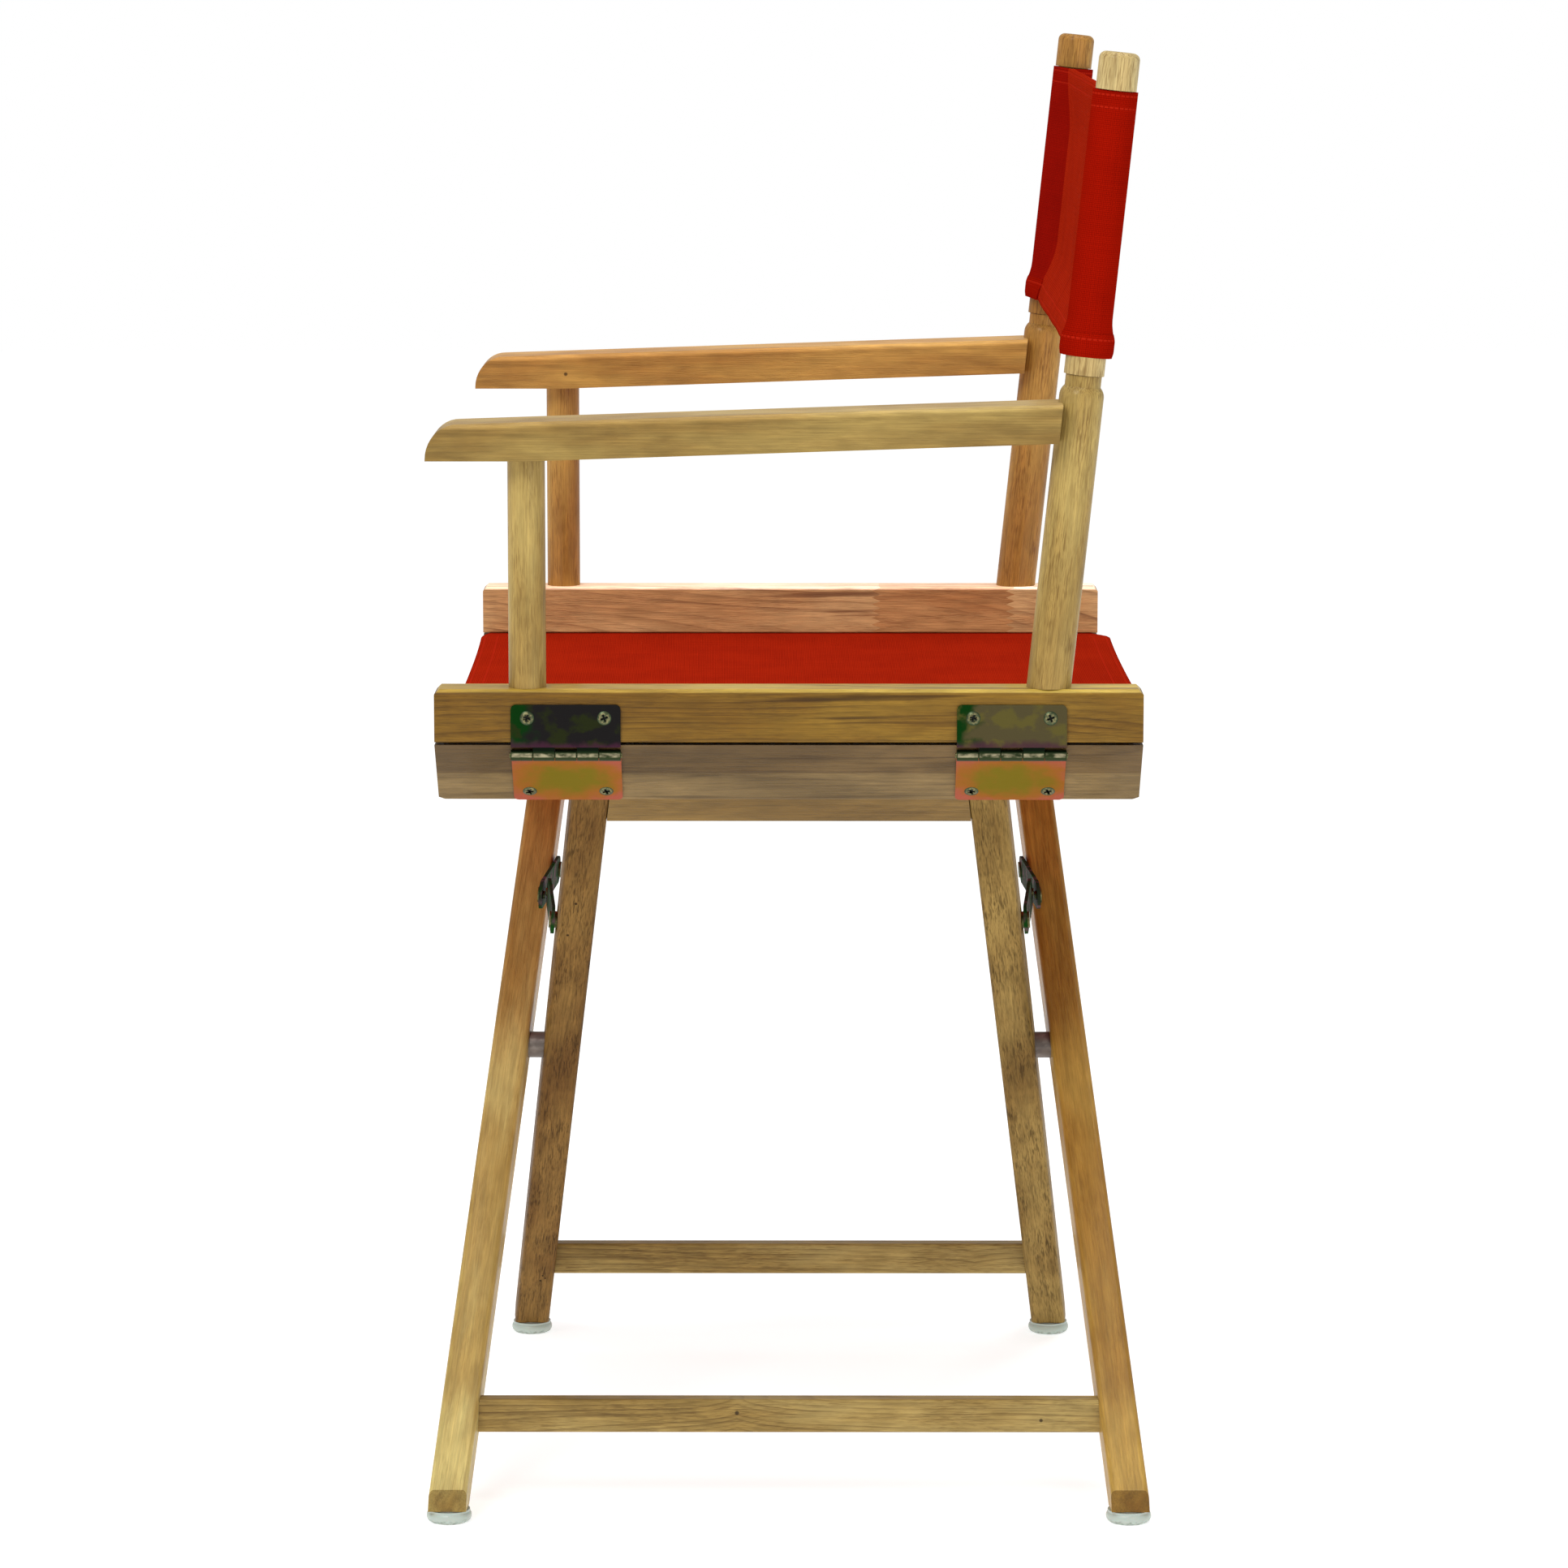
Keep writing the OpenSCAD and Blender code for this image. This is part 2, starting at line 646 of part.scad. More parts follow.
// The armrest's side view: a level nose rounded above, then a gentle rise to the back
module arm_profile() {
    top = arm_bottom + arm_t;
    nose_y = arm_front_y + nose_len;
    nose = [for (a = [0:9:90]) [nose_y - nose_len * cos(a), arm_bottom + 1 + (arm_t - 1) * sin(a)]];
    polygon(concat(
        [[arm_front_y, arm_bottom]],
        nose,
        [[arm_rear_y + back_post_d, top + (arm_rear_y + back_post_d - nose_y) * tan(arm_rise)],
         [arm_rear_y + back_post_d, arm_under(arm_rear_y + back_post_d)],
         [-front_post_y, arm_bottom]]));
}

// The armrest's end view, from its top down past its underside
module arm_section() {
    depth = 3 * arm_t;
    difference() {
        translate([-arm_w / 2, -depth]) square([arm_w, depth]);
        for (i = [-1, 1]) translate([i * arm_w / 2, 0]) mirror([i < 0 ? 1 : 0, 0]) corner_off(arm_round);
    }
}

module armrest(side) {
    difference() {
        intersection() {
            on_side(side) translate([post_x - arm_w / 2, 0, 0]) rotate([90, 0, 90])
                linear_extrude(arm_w) arm_profile();
            on_side(side) translate([post_x, arm_front_y + nose_len, arm_bottom + arm_t])
                rotate([90 + arm_rise, 0, 0]) translate([0, 0, -far / 2]) linear_extrude(far) arm_section();
        }
        back_space(side) translate([0, 0, -far / 2]) cylinder(r = back_post_d / 2 + fit_gap, h = far);
        back_space(side) translate([-far / 2, arm_bite - back_post_d / 2, -far / 2]) cube([far, far, far]);
        on_side(side) translate([post_x, -front_post_y, rail_top])
            cylinder(r = post_tenon_d / 2 + fit_gap, h = arm_z + arm_tenon_len + tenon_room);
    }
    on_side(side) translate([post_x, 0, arm_dowel_z])
        rod_y(arm_dowel_r, arm_rear_y - arm_dowel_len, arm_rear_y + back_post_d / 2 - tenon_room);
}

module seat_dowel(side) {
    on_side(side) translate([groove_x, 0, groove_z]) rod_y(dowel_r, dowel_in - rail_len / 2, rail_len / 2 - dowel_in);
}

// ---- Back sticks and covers ----

module back_stick(side) {
    back_space(side) translate([0, 0, back_post_h + face_gap]) rotate_extrude() {
        translate([0, -stick_tenon_len]) square([stick_tenon_r, stick_tenon_len + 1]);
        square([ring_d / 2, ring_h]);
        square([stick_d / 2, stick_len - cap_round]);
        translate([0, stick_len - cap_h]) square([cap_d / 2, cap_h - cap_round]);
        translate([0, stick_len - cap_h]) square([cap_d / 2 - cap_round, cap_h]);
        intersection() {
            translate([cap_d / 2 - cap_round, stick_len - cap_round]) circle(r = cap_round);
            translate([0, stick_len - cap_round]) square([cap_d / 2, cap_round]);
        }
    }
}

// Half of the back cover: the loop round the stick, and the panel to the middle of the chair
module back_cover(side) {
    bottom = back_post_h + face_gap + ring_h + sleeve_gap;
    back_space(side) translate([0, 0, bottom]) difference() {
        union() {
            cylinder(r = sleeve_d / 2, h = back_cover_h);
            translate([-post_x + sleeve_gap / 2, -cover_t / 2, 0])
                cube([post_x - sleeve_gap / 2, cover_t, back_cover_h]);
        }
        translate([0, 0, -1]) cylinder(r = stick_d / 2 + sleeve_gap, h = back_cover_h + 2);
    }
}

function sag_at(x) = seat_sag * (1 - pow(x / rail_in_x, 2));

// Half of the seat cover, from the rail's lower inner edge to the middle of the chair
module seat_cover(side) {
    x0 = sleeve_gap / 2;
    x1 = rail_in_x - face_gap;
    xs = [for (i = [0:sag_steps]) x0 + (x1 - x0) * i / sag_steps];
    above = [for (x = xs) [x, seat_cover_z - sag_at(x)]];
    below = [for (i = [sag_steps:-1:0]) [xs[i], seat_cover_z - sag_at(xs[i]) - cover_t / 2]];
    on_side(side) translate([0, seat_cover_len / 2, 0]) rotate([90, 0, 0])
        linear_extrude(seat_cover_len) polygon(concat(above, below));
}

// ---- Stays ----

// A stay link's own space, from its rivet in the leg: Z along the link to the middle joint, Y out of the leg's side
module stay_space(side, fore) {
    leg_space(side, fore) translate([0, side * leg_w / 2, stay_s])
        rotate([0, -90 - leg_tilt, 0]) mirror_y(side) children();
}

module mirror_y(side) {
    if (side > 0) children();
    else mirror([0, 1, 0]) children();
}

// Two steel links on each side of the chair reach from leg to leg above the pivot
module stay_link(side, fore) {
    stay_space(side, fore) difference() {
        union() {
            translate([-link_w / 2, link_off, 0]) cube([link_w, link_t, stay_len]);
            for (z = [0, stay_len]) translate([0, 0, z]) rod_y(link_w / 2, link_off, link_off + link_t);
        }
        rod_y(rivet_r + turn_gap, 0, far / 8);
        translate([0, 0, stay_len]) rod_y(rivet_r + fit_gap, 0, far / 8);
    }
}

// A rivet in the leg: a shank in the wood, a shoulder under the link, and a head over it
module leg_rivet(side, fore) {
    head_y = link_off + link_t + face_gap / 2;
    stay_space(side, fore) {
        rod_y(rivet_r, -rivet_len, head_y + rivet_head_t);
        rod_y(rivet_head_r, fit_gap, link_off - face_gap / 2);
        rod_y(rivet_head_r, head_y, head_y + rivet_head_t);
    }
}

module leg_rivets(side) {
    for (fore = [-1, 1]) leg_rivet(side, fore);
}

// Each link's half of the middle rivet: a head on the leg's side, and a shank half way to the other link
module middle_rivet(side, fore) {
    stay_space(side, fore) translate([0, 0, stay_len]) {
        rod_y(rivet_r, link_off - mid_head_t, link_off + link_t + mid_reach);
        rod_y(rivet_head_r, link_off - mid_head_t, link_off - fit_gap);
    }
}

// ---- Nodes ----

color(wood_tan) leg(-1, -1);  // outer_leg_front
color(wood_tan) leg(-1, 1);  // outer_leg_rear
color(wood_dark) hinge_rail(-1);  // outer_hinge_rail
color(wood_dark) cross_rail(-1);  // outer_cross_rail
color(wood_tan) stretcher(-1);  // outer_stretcher
color(plastic_pale) glides(-1);  // outer_glides
color(steel) both_pivots() pivot_bolt();  // pivot_bolts
color(steel) both_pivots() pivot_washer();  // pivot_washers
color(steel) both_pivots() pivot_nut();  // pivot_nuts
color(steel) both_pivots() pivot_spacer();  // pivot_spacers
color(zinc_gold) lower_leaf_part(-1, -1);  // right_hinge_front_lower
color(zinc_gold) lower_leaf_part(-1, 1);  // right_hinge_rear_lower
color(zinc_dark) hinge_pins(-1);  // right_hinge_pins
color(zinc_dark) lower_screws(-1);  // right_lower_screws
color(zinc_gold) leg_rivets(-1);  // outer_stay_rivets
color(wood_dark) leg(1, -1);  // inner_leg_front
color(wood_dark) leg(1, 1);  // inner_leg_rear
color(wood_dark) hinge_rail(1);  // inner_hinge_rail
color(wood_dark) cross_rail(1);  // inner_cross_rail
color(wood_tan) stretcher(1);  // inner_stretcher
color(plastic_pale) glides(1);  // inner_glides
color(zinc_gold) lower_leaf_part(1, -1);  // left_hinge_front_lower
color(zinc_gold) lower_leaf_part(1, 1);  // left_hinge_rear_lower
color(zinc_dark) hinge_pins(1);  // left_hinge_pins
color(zinc_dark) lower_screws(1);  // left_lower_screws
color(zinc_gold) leg_rivets(1);  // inner_stay_rivets
color(wood_tan) seat_rail(1);  // left_seat_rail
color(wood_pale) front_post(1);  // left_front_post
color(wood_pale) back_post(1);  // left_back_post
color(wood_pale) armrest(1);  // left_armrest
color(wood_pale) seat_dowel(1);  // left_seat_dowel
color(zinc_dark) upper_leaf_part(1, -1);  // left_hinge_front_upper
color(zinc_dark) upper_leaf_part(1, 1);  // left_hinge_rear_upper
color(zinc_dark) upper_screws(1);  // left_upper_screws
color(wood_tan) seat_rail(-1);  // right_seat_rail
color(wood_tan) front_post(-1);  // right_front_post
color(wood_tan) back_post(-1);  // right_back_post
color(wood_tan) armrest(-1);  // right_armrest
color(wood_pale) seat_dowel(-1);  // right_seat_dowel
color(zinc_dark) upper_leaf_part(-1, -1);  // right_hinge_front_upper
color(zinc_dark) upper_leaf_part(-1, 1);  // right_hinge_rear_upper
color(zinc_dark) upper_screws(-1);  // right_upper_screws
color(wood_pale) back_stick(1);  // left_back_stick
color(wood_pale) back_stick(-1);  // right_back_stick
color(canvas_red) back_cover(1);  // back_cover_left
color(canvas_red) back_cover(-1);  // back_cover_right
color(canvas_red) seat_cover(1);  // seat_cover_left
color(canvas_red) seat_cover(-1);  // seat_cover_right
color(zinc_gold) stay_link(-1, -1);  // outer_stay_front
color(zinc_gold) stay_link(-1, 1);  // outer_stay_rear
color(zinc_gold) stay_link(1, -1);  // inner_stay_front
color(zinc_gold) stay_link(1, 1);  // inner_stay_rear
color(zinc_gold) middle_rivet(-1, -1);  // outer_stay_front_rivet
color(zinc_gold) middle_rivet(-1, 1);  // outer_stay_rear_rivet
color(zinc_gold) middle_rivet(1, -1);  // inner_stay_front_rivet
color(zinc_gold) middle_rivet(1, 1);  // inner_stay_rear_rivet
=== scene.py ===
import json
import math

import bmesh
import bpy
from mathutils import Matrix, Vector


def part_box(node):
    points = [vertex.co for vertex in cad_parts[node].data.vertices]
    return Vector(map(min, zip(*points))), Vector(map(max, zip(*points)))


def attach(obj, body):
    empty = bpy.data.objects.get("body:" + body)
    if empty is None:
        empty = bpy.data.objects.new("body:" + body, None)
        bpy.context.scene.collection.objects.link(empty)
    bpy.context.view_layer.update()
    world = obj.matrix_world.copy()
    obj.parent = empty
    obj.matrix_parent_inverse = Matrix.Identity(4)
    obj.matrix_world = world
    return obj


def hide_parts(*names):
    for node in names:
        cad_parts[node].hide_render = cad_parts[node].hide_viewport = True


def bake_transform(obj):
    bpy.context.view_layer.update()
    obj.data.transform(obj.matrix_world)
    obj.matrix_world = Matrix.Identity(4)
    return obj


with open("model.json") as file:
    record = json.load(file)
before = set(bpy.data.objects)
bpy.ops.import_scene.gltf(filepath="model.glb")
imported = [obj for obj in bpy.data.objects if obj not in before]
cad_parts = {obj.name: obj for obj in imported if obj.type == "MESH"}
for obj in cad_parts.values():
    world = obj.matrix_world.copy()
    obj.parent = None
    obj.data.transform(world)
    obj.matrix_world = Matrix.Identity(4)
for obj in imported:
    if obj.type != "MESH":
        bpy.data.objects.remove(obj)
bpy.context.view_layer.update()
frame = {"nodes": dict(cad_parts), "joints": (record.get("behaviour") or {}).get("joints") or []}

# %% [markdown]
# # A folding director chair
# The chair is two crossed leg frames, two side frames with arms, a canvas seat and a canvas back. The
# construction arrives as a fixed frame of named parts, in metres, with +Z up and the sitter facing -Y.
# This lesson gives each part its finish, and sews the two covers that the frame only holds room for.


# %% [markdown]
# ## Small tools
# A shader is easier to read as short lines than as a wall of link calls. `add` places one node, sets it
# up, and connects whatever it is given: a socket becomes a link, and anything else becomes a value.
# Colours are written as a paint chart gives them, 0 to 255, and turned into the linear light that Blender
# mixes.

# %% Colours and nodes
def paint(red, green, blue):
    channels = [c / 255 for c in (red, green, blue)]
    linear = [c / 12.92 if c <= 0.04045 else ((c + 0.055) / 1.055) ** 2.4 for c in channels]
    return (*linear, 1.0)


def fill(tree, socket, value):
    if isinstance(value, bpy.types.NodeSocket):
        tree.links.new(value, socket)
    else:
        socket.default_value = value


def add(tree, kind, inputs=None, **settings):
    node = tree.nodes.new("ShaderNode" + kind)
    for name, value in settings.items():
        setattr(node, name, value)
    for key, value in (inputs or {}).items():
        fill(tree, node.inputs[key], value)
    return node


def calc(tree, operation, *values):
    node = tree.nodes.new("ShaderNodeMath")
    node.operation = operation
    for socket, value in zip(node.inputs, values):
        fill(tree, socket, value)
    return node.outputs[0]


print("a paint of 128 mixes as", round(paint(128, 128, 128)[0], 3))


# %% Masks, mixes and noise
def span(tree, value, low, high, to_low=0.0, to_high=1.0):
    """Turns the range low..high of a value into to_low..to_high, smoothly and clamped."""
    inputs = {"Value": value, "From Min": low, "From Max": high, "To Min": to_low, "To Max": to_high}
    return add(tree, "MapRange", inputs, interpolation_type="SMOOTHSTEP").outputs["Result"]


def near(tree, value, centre, inner, outer):
    """1 where a value is within inner of centre, fading to 0 at outer."""
    off = calc(tree, "ABSOLUTE", calc(tree, "SUBTRACT", value, centre))
    return span(tree, off, inner, outer, 1.0, 0.0)


def squares(tree, first, second):
    return calc(tree, "ADD", calc(tree, "MULTIPLY", first, first), calc(tree, "MULTIPLY", second, second))


def blend_colour(tree, amount, first, second, how="MIX"):
    node = add(tree, "Mix", data_type="RGBA", blend_type=how)
    fill(tree, node.inputs["Factor"], amount)
    # A Mix node has a pair of sockets for each kind of data, and these two are its colours
    fill(tree, node.inputs[6], first)
    fill(tree, node.inputs[7], second)
    return node.outputs[2]


def stretch(tree, vector, x, y, z):
    return add(tree, "VectorMath", {0: vector, 1: (x, y, z)}, operation="MULTIPLY").outputs[0]


def noise(tree, vector, x, y, z, detail=2.0, rough=0.5):
    """Noise with x, y and z waves to the metre along each axis."""
    inputs = {"Vector": stretch(tree, vector, x, y, z), "Scale": 1.0, "Detail": detail, "Roughness": rough}
    return add(tree, "TexNoise", inputs).outputs["Fac"]


print("mask, mix and noise helpers ready")


# %% Groups and materials
def new_group(name, inputs, outputs):
    """Starts a shader group from {socket name: default} and {output name: socket type}."""
    tree = bpy.data.node_groups.new(name, "ShaderNodeTree")
    kinds = {float: "NodeSocketFloat", tuple: "NodeSocketColor", Vector: "NodeSocketVector"}
    for label, default in inputs.items():
        socket = tree.interface.new_socket(label, in_out="INPUT", socket_type=kinds[type(default)])
        socket.default_value = default
    for label, kind in outputs.items():
        tree.interface.new_socket(label, in_out="OUTPUT", socket_type="NodeSocket" + kind)
    entry = tree.nodes.new("NodeGroupInput")
    leave = tree.nodes.new("NodeGroupOutput")
    return tree, entry.outputs, leave.inputs


def use_group(tree, group, values):
    node = tree.nodes.new("ShaderNodeGroup")
    node.node_tree = group
    for key, value in values.items():
        fill(tree, node.inputs[key], value)
    return node.outputs


def new_material(name, **constants):
    """A material with its Principled shader, whose unchanging values are set on the shader's own sockets."""
    material = bpy.data.materials.new(name)
    material.use_nodes = True
    tree = material.node_tree
    shader = tree.nodes["Principled BSDF"]
    for key, value in constants.items():
        shader.inputs[key.replace("_", " ")].default_value = value
    return material, tree, shader


def bump(tree, shader, height, distance, strength=1.0):
    inputs = {"Height": height, "Distance": distance, "Strength": strength}
    fill(tree, shader.inputs["Normal"], add(tree, "Bump", inputs).outputs["Normal"])


print("group and material helpers ready")


# %% [markdown]
# ## Wood
# A board is a slice of a tree, so one solid pattern serves every piece: rings around a pith line,
# stretched along the grain. Where the pith is far away the rings cut a face as straight lines, and where
# it is near and a little tilted they make the pointed arches of a flat-sawn board. Painting each face by
# hand would break at the edges, and a solid pattern doesn't. Over the rings lie fine fibres, short dark
# pores and slow patches.

# %% The rings and the pores
def growth_rings(tree, given, place, moved):
    """1 in the dark late wood of each ring round the pith, and 0 in the pale early wood."""
    seen = add(tree, "VectorMath", {0: moved, 1: given["Pith"]}, operation="ADD")
    parts = add(tree, "SeparateXYZ", {0: seen.outputs[0]}).outputs
    own = add(tree, "SeparateXYZ", {0: place}).outputs
    # Near a knot the fibres sweep up to a point and down again
    from_knot = calc(tree, "ABSOLUTE", calc(tree, "SUBTRACT", own[2], given["Knot"]))
    fade = calc(tree, "ADD", calc(tree, "MULTIPLY", from_knot, 28.0), 1.0)
    swell = calc(tree, "DIVIDE", given["Lift"], fade)
    across = calc(tree, "ADD", parts[0], calc(tree, "MULTIPLY", parts[2], given["Tilt"]))
    up = calc(tree, "SUBTRACT", parts[1], swell)
    turns = calc(tree, "DIVIDE", calc(tree, "SQRT", squares(tree, across, up)), given["Ring gap"])
    phase = calc(tree, "FRACT", turns)
    ring_number = {"W": calc(tree, "FLOOR", turns)}
    year = add(tree, "TexWhiteNoise", ring_number, noise_dimensions="1D").outputs["Value"]
    # Each ring darkens slowly and ends sharply, and some years are darker than others
    late = calc(tree, "MULTIPLY", calc(tree, "POWER", phase, 3.0), span(tree, phase, 0.88, 1.0, 1.0, 0.0))
    uneven = span(tree, noise(tree, place, 70, 70, 7), 0.3, 0.7, 0.25, 1.0)
    some_years = calc(tree, "ADD", calc(tree, "MULTIPLY", year, 0.9), 0.25)
    strength = calc(tree, "MULTIPLY", some_years, given["Rings"])
    return calc(tree, "MULTIPLY", calc(tree, "MULTIPLY", late, uneven), strength)


def pore_dashes(tree, place):
    """Short dashes along the grain at two sizes, fewer in some patches than in others."""
    coarse = span(tree, noise(tree, place, 1150, 1150, 95, 1.0), 0.50, 0.68)
    fine = span(tree, noise(tree, place, 2000, 2000, 170, 1.0), 0.52, 0.68, 0.0, 0.7)
    thin_out = span(tree, noise(tree, place, 90, 90, 20, 2.0), 0.35, 0.65, 0.35, 1.0)
    return calc(tree, "MULTIPLY", calc(tree, "MAXIMUM", coarse, fine), thin_out)


print("ring and pore makers ready")

# %% The wood grain group
WANDER = 0.020


def make_grain():
    tree, given, result = new_group(
        "wood grain",
        {
            "Vector": Vector((0, 0, 0)), "Pith": Vector((0.05, 0.02, 0)), "Tilt": 0.02, "Ring gap": 0.004,
            "Knot": 9.0, "Lift": 0.0, "Pale": (0.5, 0.4, 0.2, 1.0), "Middle": (0.4, 0.3, 0.1, 1.0),
            "Dark": (0.2, 0.1, 0.05, 1.0), "Rings": 0.5, "Pores": 0.5, "Streaks": 0.3,
        },
        {"Color": "Color", "Roughness": "Float", "Height": "Float"},
    )
    place = given["Vector"]
    # The pith wanders, which bends the rings
    wander = add(tree, "TexNoise", {"Vector": stretch(tree, place, 16, 16, 3.4), "Scale": 1.0, "Detail": 2.0})
    centred = add(tree, "VectorMath", {0: wander.outputs["Color"], 1: (0.5, 0.5, 0.5)}, operation="SUBTRACT")
    bent = add(tree, "VectorMath", {0: centred.outputs[0], "Scale": WANDER}, operation="SCALE")
    moved = add(tree, "VectorMath", {0: place, 1: bent.outputs[0]}, operation="ADD").outputs[0]
    rings = growth_rings(tree, given, place, moved)
    pores = pore_dashes(tree, place)
    patches = span(tree, noise(tree, place, 34, 34, 9, 3.0, 0.6), 0.34, 0.66)
    fibres = noise(tree, place, 1300, 1300, 26, 3.0, 0.6)
    threads = noise(tree, place, 300, 300, 5, 2.0)
    streaks = span(tree, noise(tree, moved, 150, 150, 3.4, 2.0, 0.6), 0.57, 0.72)
    body = blend_colour(tree, patches, given["Pale"], given["Middle"])
    ringed = blend_colour(tree, rings, body, given["Dark"])
    streaked = blend_colour(tree, calc(tree, "MULTIPLY", streaks, given["Streaks"]), ringed, given["Dark"])
    # Fibres and threads lighten or darken the wood a little, and mottle does so in short bars
    coarse = span(tree, threads, 0.25, 0.75, -0.07, 0.07)
    light = calc(tree, "ADD", span(tree, fibres, 0.25, 0.75, 0.84, 1.14), coarse)
    mottle = span(tree, noise(tree, place, 140, 140, 45, 3.0), 0.3, 0.7, 0.90, 1.10)
    light = calc(tree, "MULTIPLY", light, mottle)
    grey = add(tree, "CombineColor", {0: light, 1: light, 2: light}).outputs[0]
    fibred = blend_colour(tree, 1.0, streaked, grey, "MULTIPLY")
    pore_dark = calc(tree, "MULTIPLY", pores, given["Pores"])
    fill(tree, result["Color"], blend_colour(tree, pore_dark, fibred, given["Dark"]))
    fill(tree, result["Roughness"], span(tree, fibres, 0.2, 0.8, 0.38, 0.54))
    relief = calc(tree, "SUBTRACT", calc(tree, "MULTIPLY", fibres, 0.35), calc(tree, "MULTIPLY", pores, 0.8))
    fill(tree, result["Height"], relief)
    return tree


grain = make_grain()
print("wood grain group:", len(grain.nodes), "nodes")


# %% [markdown]
# Each piece was cut from its own place in its own board, so each gets its own grain direction, its own
# distance to the pith and its own tone. A Mapping node turns the pattern so that its Z runs along the
# piece.

# %% Laying the grain along a piece
def set_material(piece, material):
    piece.data.materials.clear()
    piece.data.materials.append(material)


def middle_of(name):
    low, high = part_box(name)
    return (Vector(low) + Vector(high)) / 2


def grain_place(tree, name, along):
    """Coordinates that start at the piece's middle and run along its grain."""
    turn = Vector(along).to_track_quat("Z", "Y").to_euler()
    source = add(tree, "TexCoord").outputs["Object"]
    inputs = {"Vector": source, "Location": middle_of(name), "Rotation": turn}
    return add(tree, "Mapping", inputs, vector_type="TEXTURE").outputs["Vector"]


def darker(colour, share):
    return (*(channel * share for channel in colour[:3]), 1.0)


print("grain of an armrest starts at", [round(v, 3) for v in middle_of("left_armrest")])


# %% [markdown]
# Some pieces show one thing that the others don't: a top face made paler by painted light, a nail dot or a
# pin knot, or a block let into a rail with glued fingers. Each is a mask that picks out its place on the
# chair, so it stays put whatever the grain does.

# %% Masks for single places
FINGER_DEPTH, FINGER_SLOPE = 0.0022, 2.6


def painted_light_top_mask(tree, axes, node, slope, depth):
    """1 on the upper face of a piece whose top rises by slope along Y, fading out over depth below it;
    painted light goes here.
    """
    top = max(vertex.co.z - slope * vertex.co.y for vertex in node.data.vertices)
    level = calc(tree, "SUBTRACT", axes[2], calc(tree, "MULTIPLY", axes[1], slope))
    return span(tree, level, top - depth, top - depth * 0.4)


def spot_mask(tree, axes, y, z, radius):
    """A small dark dot, seen along X, such as a nail head or a pin knot."""
    dy, dz = calc(tree, "SUBTRACT", axes[1], y), calc(tree, "SUBTRACT", axes[2], z)
    away = calc(tree, "SQRT", squares(tree, dy, dz))
    return span(tree, away, radius * 0.6, radius * 1.3, 1.0, 0.0)


def finger_block(tree, axes, start, end):
    """1 between two zigzag glue lines across the rail, and 0 outside them."""
    fingers = calc(tree, "PINGPONG", axes[2], FINGER_DEPTH)
    along = calc(tree, "ADD", axes[1], calc(tree, "MULTIPLY", fingers, FINGER_SLOPE))
    after = calc(tree, "GREATER_THAN", along, start)
    return calc(tree, "MULTIPLY", after, calc(tree, "LESS_THAN", along, end))


print("masks ready: top face, spot, finger-jointed block")

# %% [markdown]
# One function finishes any wooden piece, so that all of them share one grain and one oil. The oil is a
# thin clear coat over the wood. It is kept weak, because a strong one turns the slanting legs white at the
# edges.

# %% A maker of wood finishes
OIL_SHEEN = 0.14
NO_KNOT = 9.0
BLOCK_SHIFT = (0.05, 0.04, 0.3)
BLOCK_TINT, SPOT_TINT = 0.6, 0.85
SAWN_END = paint(190, 180, 158)
TOE_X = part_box("outer_leg_front")[1][0]


